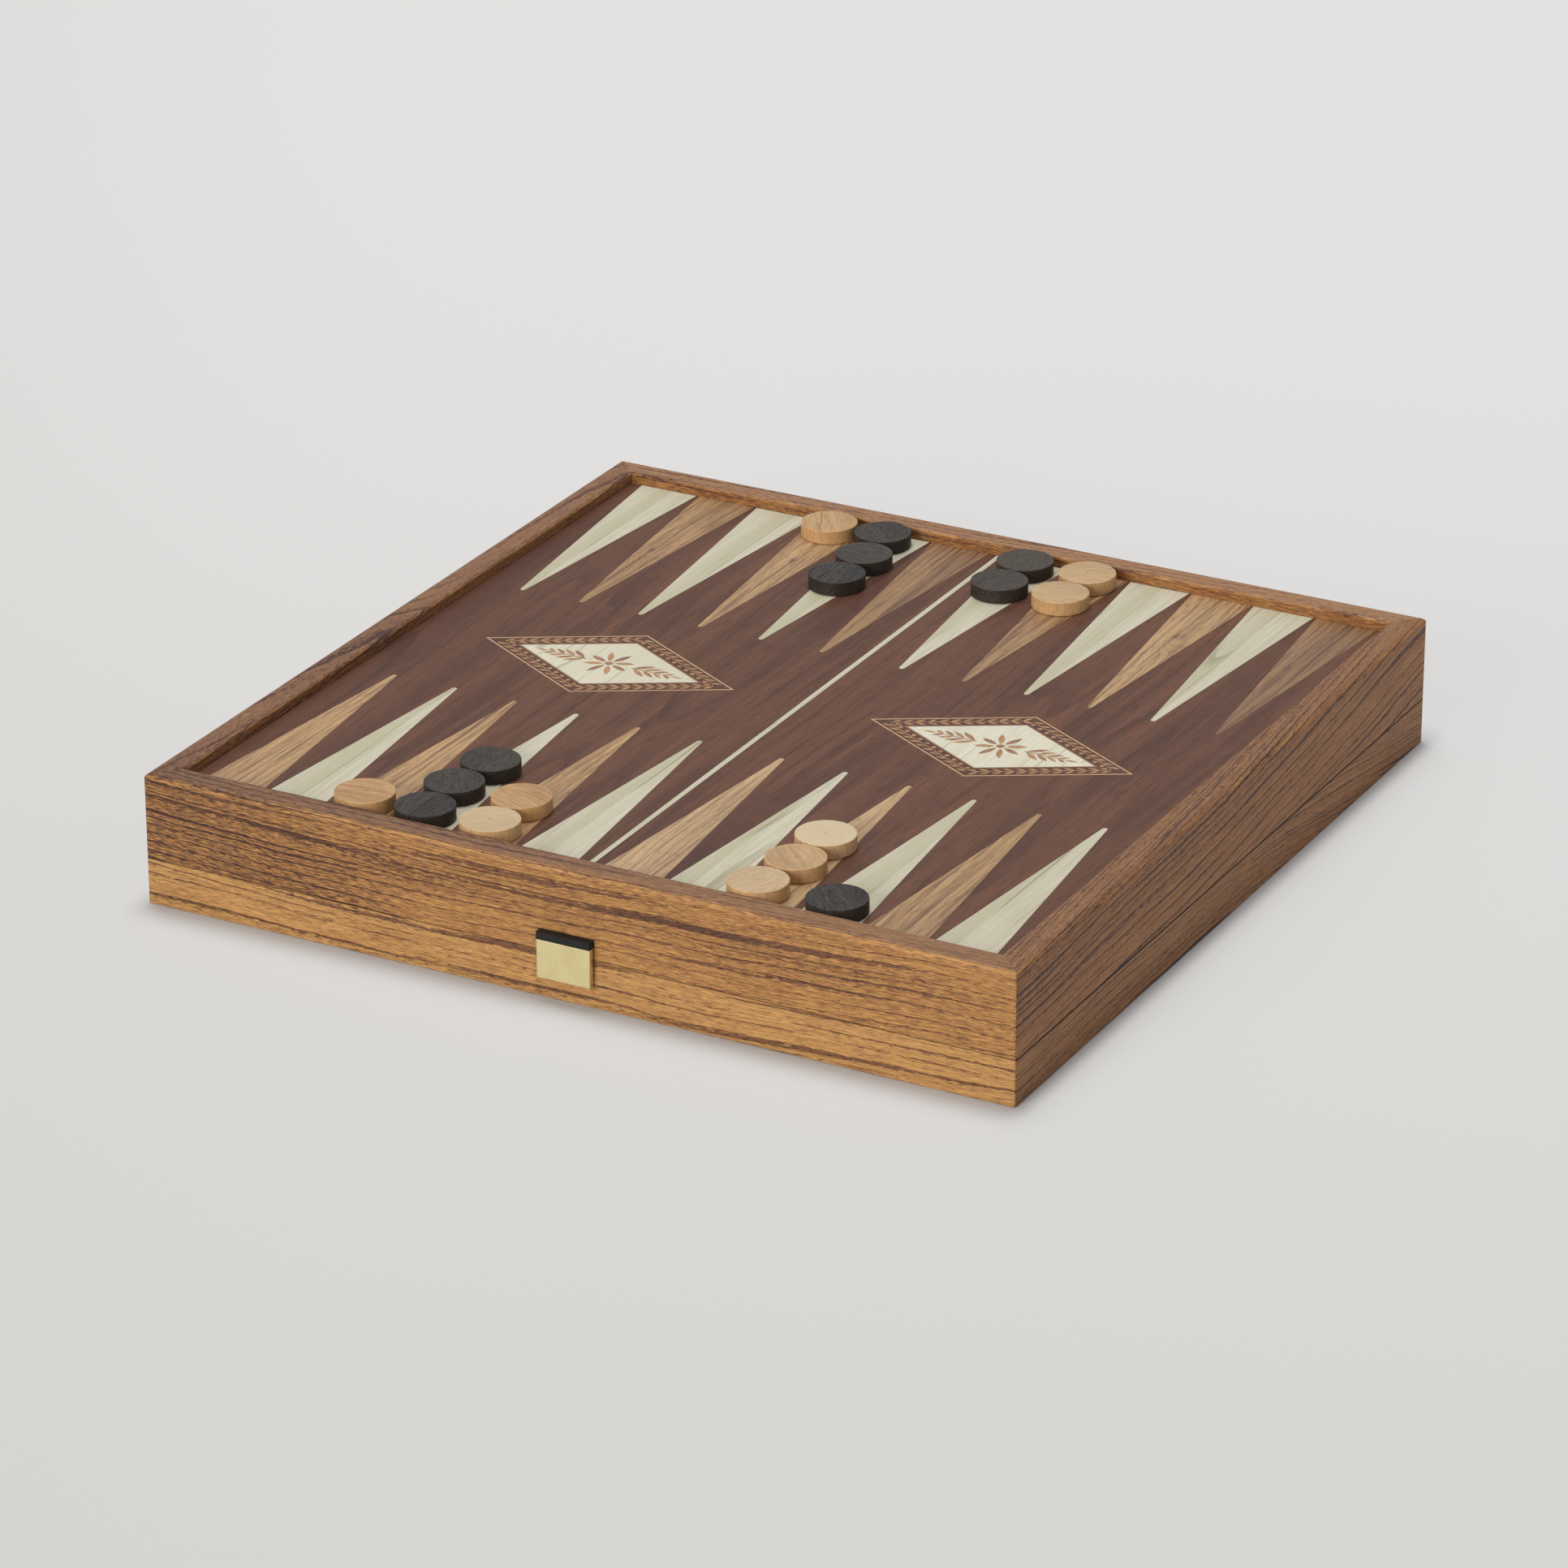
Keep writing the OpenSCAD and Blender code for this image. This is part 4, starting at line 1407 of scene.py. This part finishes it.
@dataclass
class Checkers(SubAssembly):
    """Turned checkers, in play on the field and stored in the base."""

    radius: float = 13.0
    thickness: float = 6.5
    air: float = 0.02
    edge: Round = (0.4, 4)
    segments: int = 88
    dimple_r: float = 1.1
    dimple_wall: float = 0.7
    dimple_depth: float = 0.12
    in_play: int = 9
    stored: int = 6
    stored_gap: float = 0.1
    stored_first: float = 2.6
    seed: int = 7
    woods: float = 9.0
    spins: float = 6.0
    shades: Dict[str, Tuple[float, ...]] = field(default_factory=lambda: {
        "dark": (0.2, 0.6, 0.0, 1.0, 0.6, 0.1, 0.4, 0.4, 0.1),
        "light": (0.1, 0.3, 0.3, 0.0, 0.6, 0.0, 0.5, 0.2, 1.0)})
    light: Turned = Turned()
    dark: Turned = Turned(pale=(61, 56, 52), base=(26, 23, 21), line=(11, 10, 9),
                          best=(68, 59, 50), side=(60, 53, 46), rough=0.38, grooves=0.30,
                          parting=0.50, rings=0.45, pits=0.90, depth=0.00075, shine=0.22)

    def disc(self, shape: Shape, place: Matrix, board: float, shade: float) -> None:
        """Add a turned disc to a shape.

        Args:
            shape: Shape that takes the disc in.
            place: Where the middle of its underside and its axis come to lie.
            board: Number that picks its piece of wood.
            shade: Share of the wood's best, lightest shade.
        """
        disc = bmesh.new()
        bmesh.ops.create_cone(disc, cap_ends=True, cap_tris=False, segments=self.segments,
                              radius1=self.radius, radius2=self.radius,
                              depth=self.thickness - self.air,
                              matrix=moved(0.0, 0.0, (self.thickness + self.air) / 2))
        rims = {edge for face in disc.faces if abs(face.normal.z) > LEVEL for edge in face.edges}
        radius, facets = self.edge
        bmesh.ops.bevel(disc, geom=list(rims), offset=radius, segments=facets, profile=0.5,
                        affect="EDGES", material=-1)
        disc.normal_update()
        caps = [face for face in disc.faces
                if abs(face.normal.z) > LEVEL and len(face.verts) == self.segments]
        rest = self.radius - radius - self.dimple_r
        for thickness, depth in ((rest / 2, 0.0), (rest / 2, 0.0),
                                 (self.dimple_r * self.dimple_wall, -self.dimple_depth)):
            bmesh.ops.inset_region(disc, faces=caps, thickness=thickness, depth=depth)
        lathe = disc.verts.layers.float_vector.new("lathe")
        number = disc.verts.layers.float.new("board")
        tone = disc.verts.layers.float.new("shade")
        for vert in disc.verts:
            vert[lathe] = vert.co * MM
            vert[number], vert[tone] = board, shade
        bmesh.ops.transform(disc, matrix=place, verts=disc.verts)
        shape.join(disc)

    def build(self) -> None:
        """Build the checkers in play, and each player's stored ones as one piece."""
        chance = random.Random(self.seed)
        colours = {"dark": (self.dark.material("ebonised_turned"), Slot.EBONY, -1.0),
                   "light": (self.light.material("beech_turned"), Slot.BEECH, 1.0)}
        for colour, (material, slot, side) in colours.items():
            for number in range(1, self.in_play + 1):
                node = f"{colour}_checker_{number}"
                middle, shape = middle_of(node), Shape()
                self.disc(shape, moved(middle.x, middle.y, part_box(node)[0].z / MM),
                          chance.uniform(0.0, self.woods), self.shades[colour][number - 1])
                self.finish(f"{colour}_disc_{number}", shape, slot, [material], node, [node])
            node = f"stored_{colour}_checkers"
            middle, shape = middle_of(node), Shape()
            for i in range(self.stored):
                near = self.stored_first + i * (self.thickness + self.stored_gap)
                spin = Matrix.Rotation(chance.uniform(0.0, self.spins), 4, "Z")
                place = moved(near * side, middle.y, middle.z) @ turned(90.0 * side, "Y") @ spin
                self.disc(shape, place, chance.uniform(0.0, self.woods), self.shades[colour][i])
            self.finish(f"stored_{colour}_discs", shape, slot, [material], Part.BASE.value, [node])


@dataclass
class Hinges(SubAssembly):
    """Two brass butt hinges let into the back walls."""

    width: float = 30.0
    leaf_h: float = 11.0
    leaf_gap: float = 0.1
    leaf_corner: Round = (1.2, 4)
    leaf_edge: Round = (0.12, 2)
    barrel_r: float = 2.2
    barrel_ease: float = 0.2
    barrel_steps: int = 40
    pin_r: float = 0.9
    pin_y: float = 206.8
    pin_steps: int = 24
    play: float = 0.3
    screw_pitch: float = 18.0
    screw_share: float = 0.6
    screw_head_r: float = 2.1
    screw_r: float = 1.0
    screw_len: float = 9.0
    screw_play: float = 0.05
    screw_steps: int = 32
    head_ease: float = 0.08
    countersink: float = 1.1
    drill: Tuple[float, float] = (0.5, -2.0)
    slot_w: float = 0.5
    slot_half: float = 3.0
    brass: Grained = metal((206, 176, 112), (170, 138, 82), 0.30, (300.0, 2200.0, 2200.0))
    steel: Grained = metal((176, 176, 178), (140, 140, 142), 0.28)

    def screw_spots(self, x: float, up: int) -> List[Matrix]:
        """List the places of a leaf's screws, with their axes out of the back."""
        height = self.seam_z + up * self.screw_share * self.leaf_h
        return [moved(x + side * self.screw_pitch / 2, self.half_side, height)
                @ turned(-90.0, "X") for side in (-1, 1)]

    def leaf(self, x: float, up: int) -> Shape:
        """Make a leaf with its knuckles and countersunk holes.

        Args:
            x: Place of the hinge.
            up: 1 for the lid's leaf and -1 for the base's.

        Returns:
            Its shape.
        """
        inner = self.half_side - self.leaf_t
        low = self.seam_z + (self.leaf_gap if up > 0 else -self.leaf_h)
        high = low + self.leaf_h - self.leaf_gap
        plate = Shape().block((x - self.width / 2, inner, low),
                              (x + self.width / 2, self.half_side, high))
        plate.ease(self.leaf_corner, edges_at("y", z=high if up > 0 else low))
        plate.ease(self.leaf_edge)
        holes = Shape()
        head = self.screw_head_r + self.screw_play
        shank = self.screw_r + self.screw_play
        above, below = self.drill
        for spot in self.screw_spots(x, up):
            holes.lathe([(0.0, above), (head, above), (head, 0.0), (shank, -self.countersink),
                         (shank, below), (0.0, below)], spot, self.screw_steps)
        knuckle = (self.width - 2 * self.play) / 3
        half = knuckle / 2
        step = knuckle + self.play
        own, others = ([0.0], [-step, step]) if up > 0 else ([-step, step], [0.0])
        room = Shape()
        reach = self.barrel_r + self.play
        for place in others:
            room.block((x + place - half - self.play, inner - self.room, self.seam_z - reach),
                       (x + place + half + self.play, self.half_side + self.room,
                        self.seam_z + reach))
        plate.carve(holes).carve(room)
        bore, ease = self.pin_r + self.screw_play, self.barrel_ease
        for place in own:
            plate.lathe([(bore, -half), (self.barrel_r - ease, -half),
                         (self.barrel_r, -half + ease), (self.barrel_r, half - ease),
                         (self.barrel_r - ease, half), (bore, half), (bore, -half)],
                        moved(x + place, self.pin_y, self.seam_z) @ turned(90.0, "Y"),
                        self.barrel_steps)
            web = sorted((self.seam_z + up * self.leaf_gap, self.seam_z + up * self.barrel_r))
            plate.block((x + place - half, inner, web[0]),
                        (x + place + half, self.pin_y - self.pin_r - ease, web[1]))
        return plate

    def screws(self, up: int) -> Shape:
        """Make the slotted screws of the leaves on one side of the seam.

        Args:
            up: 1 for the lid's screws and -1 for the base's.

        Returns:
            The shape of all four.
        """
        shape = Shape()
        for x in (-self.hinge_x, self.hinge_x):
            for spot in self.screw_spots(x, up):
                screw = Shape().lathe([
                    (0.0, 0.0), (self.screw_head_r - self.head_ease, 0.0),
                    (self.screw_head_r, -self.head_ease), (self.screw_r, -self.countersink),
                    (self.screw_r, self.screw_r - self.screw_len), (0.0, -self.screw_len)],
                    spot, self.screw_steps)
                middle = spot.translation
                screw.carve(Shape().block(
                    (middle.x - self.slot_half, middle.y - self.countersink / 2,
                     middle.z - self.slot_w / 2),
                    (middle.x + self.slot_half, middle.y + self.room,
                     middle.z + self.slot_w / 2)))
                shape.join(screw.mesh)
        return shape

    def build(self) -> None:
        """Build the leaves, the pins and the screws."""
        brass, steel = self.brass.material("hinge_brass"), self.steel.material("pin_steel")
        half, ease, sides = self.width / 2, self.barrel_ease, ((Part.BASE, -1), (Part.LID, 1))
        for name, x in (("left", -self.hinge_x), ("right", self.hinge_x)):
            for part, up in sides:
                node = f"{name}_{part.value}_leaf"
                self.finish(f"{node}_plate", self.leaf(x, up), Slot.BRASS, [brass], part.value,
                            [node])
            pin = Shape().lathe([(0.0, -half), (self.pin_r - ease, -half),
                                 (self.pin_r, -half + ease), (self.pin_r, half - ease),
                                 (self.pin_r - ease, half), (0.0, half)],
                                moved(x, self.pin_y, self.seam_z) @ turned(90.0, "Y"),
                                self.pin_steps)
            node = f"{name}_hinge_pin"
            self.finish(f"{node}_rod", pin, Slot.STEEL, [steel], Part.BASE.value, [node])
        for part, up in sides:
            self.finish(f"{part.value}_slotted_screws", self.screws(up), Slot.BRASS, [brass],
                        part.value, [f"{part.value}_leaf_screws"])


@dataclass
class Clasp(SubAssembly):
    """Magnetic clasp with a black block and a bare gold cap."""

    width: float = 25.5
    front: float = -205.0
    stand_out: float = 4.0
    cap_t: float = 0.6
    cap_off: float = 1.4
    corner: Round = (0.8, 6)
    cap_edge: Round = (0.18, 3)
    head_proud: float = 0.2
    head_gap: float = 0.12
    head_edge: Round = (0.2, 3)
    head_back: float = 0.5
    up: float = 10.0
    down: float = 10.5
    cap_up: float = 6.8
    hair: float = 0.01
    core_gap: float = 0.03
    core_edge: Round = (0.2, 2)
    back_gap: float = 0.1
    back_edge: Round = (0.15, 2)
    play: float = 0.3
    magnet_r: float = 4.05
    magnet_room: float = 2.0
    bore_steps: int = 40
    gold: Grained = metal((226, 213, 166), (208, 193, 142), 0.36, depth=0.00001)
    steel: Grained = metal((178, 178, 182), (140, 140, 146), 0.25, (700.0, 700.0, 700.0))
    black: Grained = rubber((24, 25, 24), (37, 38, 36))

    def core(self, grow: float) -> Tuple[Point, Point]:
        """Find the part of the block that the cap wraps.

        Args:
            grow: How far it is grown to the front, the sides and below.

        Returns:
            Its lowest and highest corner.
        """
        half = self.width / 2 - self.cap_t + grow
        return ((-half, self.front - self.stand_out + self.cap_t - grow,
                 self.seam_z - self.down + self.cap_t - grow),
                (half, self.front, self.seam_z + self.cap_up))

    def cap(self) -> Shape:
        """Make the thin gold cap, open at its back and top.

        Returns:
            Its shape.
        """
        half, face = self.width / 2, self.front - self.stand_out
        rounded = face + self.corner[0] + self.hair
        cap = Shape().block((-half, face, self.seam_z - self.down),
                            (half, self.front - self.cap_off,
                             self.seam_z + self.cap_up - self.head_gap))
        cap.ease(self.corner, edges_at("z", y=face))
        cap.ease(self.cap_edge, lambda first, second:
                 max(first.y, second.y) < rounded and abs(first.z - second.z) < NEAR)
        low, high = self.core(self.hair)
        return cap.carve(Shape().block(low, (high[0], high[1] + self.room, high[2] + self.room)))

    def block_shape(self) -> Shape:
        """Make the black block with its head above the cap.

        Returns:
            Its shape.
        """
        half, face = self.width / 2, self.front - self.stand_out - self.head_proud
        low, high = self.core(-self.core_gap)
        block = Shape().block(low, high).ease(self.core_edge)
        back = Shape().block((self.back_gap - half, self.front - self.cap_off + self.back_gap,
                              low[2]),
                             (half - self.back_gap, self.front, high[2]))
        block.join(back.ease(self.back_edge).mesh)
        head = Shape().block((-half, face, high[2]), (half, self.front, self.seam_z + self.up))
        head.ease(self.corner, edges_at("z", y=face))
        head.ease(self.head_edge, lambda first, second:
                  max(first.y, second.y) < self.front - self.head_back)
        block.join(head.mesh)
        tool = Shape().block(
            (-self.width, self.front - self.play, self.seam_z - self.down - 2 * self.room),
            (self.width, self.front + self.room, self.seam_z))
        depth = self.magnet_room + self.play
        bore = Shape().lathe(
            [(0.0, -self.room), (self.magnet_r, -self.room), (self.magnet_r, depth), (0.0, depth)],
            moved(0.0, self.front, self.seam_z - self.down / 2) @ turned(90.0, "X"),
            self.bore_steps)
        return block.carve(tool).carve(bore)

    def build(self) -> None:
        """Build the cap and the block, and dress the magnet, keeper and screws."""
        gold = self.gold.material("clasp_gold")
        black = self.black.material("clasp_rubber")
        steel = self.steel.material("clasp_steel")
        self.finish("clasp_gold_cap", self.cap(), Slot.GOLD, [gold], Part.LID.value, ["clasp_cap"])
        self.finish("clasp_black_block", self.block_shape(), Slot.RUBBER, [black],
                    Part.LID.value, ["clasp_block"])
        for node in ("clasp_magnet", "clasp_keeper", "clasp_screws"):
            self.dress_node(node, steel)


@dataclass
class Storage(SubAssembly):
    """Inside of the base and of the lid: floor, panel, felts, trough and dice."""

    die_side: float = 12.0
    die_edge: Round = (1.6, 5)
    pip_step: float = 3.0
    pip_r: float = 1.2
    pip_depth: float = 0.6
    pip_detail: int = 3
    felt_edge: Round = (0.4, 4)
    trough_edge: Round = (0.6, 2)
    trough: Walnut = Walnut(0.0, (11.0, 0.4, 0.1), seam=1.0)
    stops: Walnut = Walnut(-90.0, (12.0, 0.4, 0.1), seam=1.0)
    pips: Grained = rubber((30, 28, 27), (46, 42, 40))
    faces: Dict[int, Tuple[float, str]] = field(default_factory=lambda: {
        1: (0.0, "X"), 2: (90.0, "X"), 3: (90.0, "Y"), 4: (-90.0, "Y"), 5: (-90.0, "X"),
        6: (180.0, "X")})

    def lining(self, part: Part, felt: bpy.types.Material, board: str, held: str) -> None:
        """Build the felt of a body, glued flat on its board.

        Args:
            part: Body that is lined.
            felt: Material of the felt.
            board: Node that the felt is glued on; not used.
            held: How the sheet is held; not used.
        """
        node = f"{part.value}_lining"
        low, high = (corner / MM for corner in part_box(node))
        sheet = Shape().block(low, high).ease(self.felt_edge)
        piece = self.finish(f"{part.value}_felt", sheet, Slot.FELT, [felt], part.value, [node])

    def die(self, centre: Vector, turn: float) -> Shape:
        """Make a die with hollow pips.

        Args:
            centre: Middle of the die.
            turn: Turn about Z in degrees, in quarter turns.

        Returns:
            Its shape, with the pips' faces at index 1.
        """
        half = self.die_side / 2
        corner = Vector((half, half, half))
        die = Shape().block(-corner, corner).ease(self.die_edge)
        middle, slant = [(0, 0)], [(-1, -1), (1, 1)]
        four = slant + [(-1, 1), (1, -1)]
        spots = {1: middle, 2: slant, 3: [slant[0], *middle, slant[1]], 4: four,
                 5: four + middle, 6: four + [(-1, 0), (1, 0)]}
        tool = Shape()
        for number, places in spots.items():
            for x, y in places:
                spot = turned(*self.faces[number]) @ moved(
                    x * self.pip_step, y * self.pip_step, half + self.pip_r - self.pip_depth)
                bmesh.ops.create_icosphere(tool.mesh, subdivisions=self.pip_detail,
                                           radius=self.pip_r, matrix=spot)
        for hollow in tool.mesh.faces:
            hollow.material_index = 1
        die.carve(tool).turn(turn)
        bmesh.ops.translate(die.mesh, vec=centre, verts=die.mesh.verts)
        return die

    def build(self) -> None:
        """Dress the inside and build the dice."""
        plywood = Laminate().material("birch_plywood")
        felt = FELT.material("green_felt")
        for node in ("base_floor", "playing_panel"):
            self.dress_node(node, plywood)
        self.lining(Part.BASE, felt, "base_floor", "laid")
        self.lining(Part.LID, felt, "playing_panel", "stretched")
        self.dress_node("trough_divider", self.trough.material("walnut_trough"),
                        self.trough_edge)
        for node in ("centre_stop", "left_stop", "right_stop"):
            self.dress_node(node, self.stops.material("walnut_stops"), self.trough_edge)
        low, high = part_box("dice")
        spread = (high.x - low.x) / (2 * MM) - self.die_side / 2
        pair = Shape()
        for side, turn in ((-1, 0.0), (1, 90.0)):
            shift = Vector((side * spread, 0.0, 0.0))
            pair.join(self.die(middle_of("dice") + shift, turn).mesh)
        self.finish("two_dice", pair, Slot.DICE,
                    [RESIN.material("dice_resin"), self.pips.material("dice_pips")],
                    Part.BASE.value, ["dice"])


@dataclass
class Studio:
    """Camera, pale floor and soft lamps."""

    camera_place: Point = (1.24818, -2.35179, 1.21254)
    target: Point = (0.00675, -0.02917, 0.030)
    roll: float = -0.0587
    lens: float = 154.2
    sensor: float = 36.0
    sight: float = 100.0
    floor_size: float = 40.0
    floor_cells: int = 8
    floor_z: float = -0.0001
    sky: Tuple[float, float, float, float] = (1.0, 0.99, 0.98, 1.0)
    sky_strength: float = 0.28
    backdrop: Tuple[float, float, float, float] = (0.76, 0.75, 0.74, 1.0)
    key_place: Point = (-0.6, -4.9, 1.6)
    key_size: float = 2.4
    key_power: float = 152.0
    key_colour: Point = (1.0, 0.96, 0.90)
    top_place: Point = (-0.35, 0.5, 3.6)
    top_size: float = 1.5
    top_power: float = 79.0
    top_colour: Point = (1.0, 1.0, 1.0)

    def aim(self, thing: bpy.types.Object, place: Point, target: Point, roll: float) -> None:
        """Put a camera or lamp into the scene.

        Args:
            thing: Camera or lamp.
            place: Place in metres.
            target: Point that it looks at.
            roll: Turn about its line of sight in degrees.
        """
        look = (Vector(target) - Vector(place)).to_track_quat("-Z", "Y").to_matrix().to_4x4()
        thing.matrix_world = Matrix.Translation(place) @ look @ turned(roll, "Z")
        bpy.context.scene.collection.objects.link(thing)

    def camera(self) -> None:
        """Set the camera at the photograph's place and angle."""
        data = bpy.data.cameras.new("camera")
        data.lens, data.sensor_width, data.clip_end = self.lens, self.sensor, self.sight
        camera = bpy.data.objects.new("camera", data)
        self.aim(camera, self.camera_place, self.target, self.roll)
        bpy.context.scene.camera = camera

    def floor(self) -> None:
        """Lay the pale floor."""
        mesh = bmesh.new()
        bmesh.ops.create_grid(mesh, x_segments=self.floor_cells,
                              y_segments=self.floor_cells, size=self.floor_size / 2,
                              matrix=moved(0.0, 0.0, self.floor_z))
        data = bpy.data.meshes.new("studio_floor")
        mesh.to_mesh(data)
        mesh.free()
        data.materials.append(PaperFloor().material("paper_floor"))
        floor = bpy.data.objects.new("studio_floor", data)
        bpy.context.scene.collection.objects.link(floor)

    def lamp(self, name: str, place: Point, size: float, power: float, colour: Point) -> None:
        """Hang a square soft lamp that faces the box.

        Args:
            name: Name of the lamp.
            place: Place in metres.
            size: Side of the lamp in metres.
            power: Power in watts.
            colour: Colour of the light.
        """
        data = bpy.data.lights.new(name, "AREA")
        data.shape, data.size, data.energy, data.color = "SQUARE", size, power, colour
        self.aim(bpy.data.objects.new(name, data), place, (0.0, 0.0, 0.0), 0.0)

    def world(self) -> None:
        """Fill the world with soft light, pale to the camera."""
        world = bpy.data.worlds.new("studio")
        shader = Shader(world)
        fill = shader.tree.nodes["Background"]
        fill.inputs["Color"].default_value = self.sky
        fill.inputs["Strength"].default_value = self.sky_strength
        shader.show(fill, shader.node("ShaderNodeBackground", values={"Color": self.backdrop}), 1.0)
        bpy.context.scene.world = world

    def build(self) -> None:
        """Set up the studio."""
        self.camera()
        self.floor()
        self.world()
        self.lamp("key_lamp", self.key_place, self.key_size, self.key_power, self.key_colour)
        self.lamp("top_lamp", self.top_place, self.top_size, self.top_power, self.top_colour)
        bpy.context.scene.view_settings.view_transform = "Standard"
        LOG.info("studio: camera, floor and lamps are set")


def main() -> None:
    """Build the dressed box in order."""
    logging.basicConfig(level=logging.INFO, format="%(name)s: %(message)s")
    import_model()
    for assembly in (Studio(), BoxWalls(), PlayingField(), Checkers(), Hinges(), Clasp(),
                     Storage()):
        assembly.build()


if __name__ == "__main__":
    main()
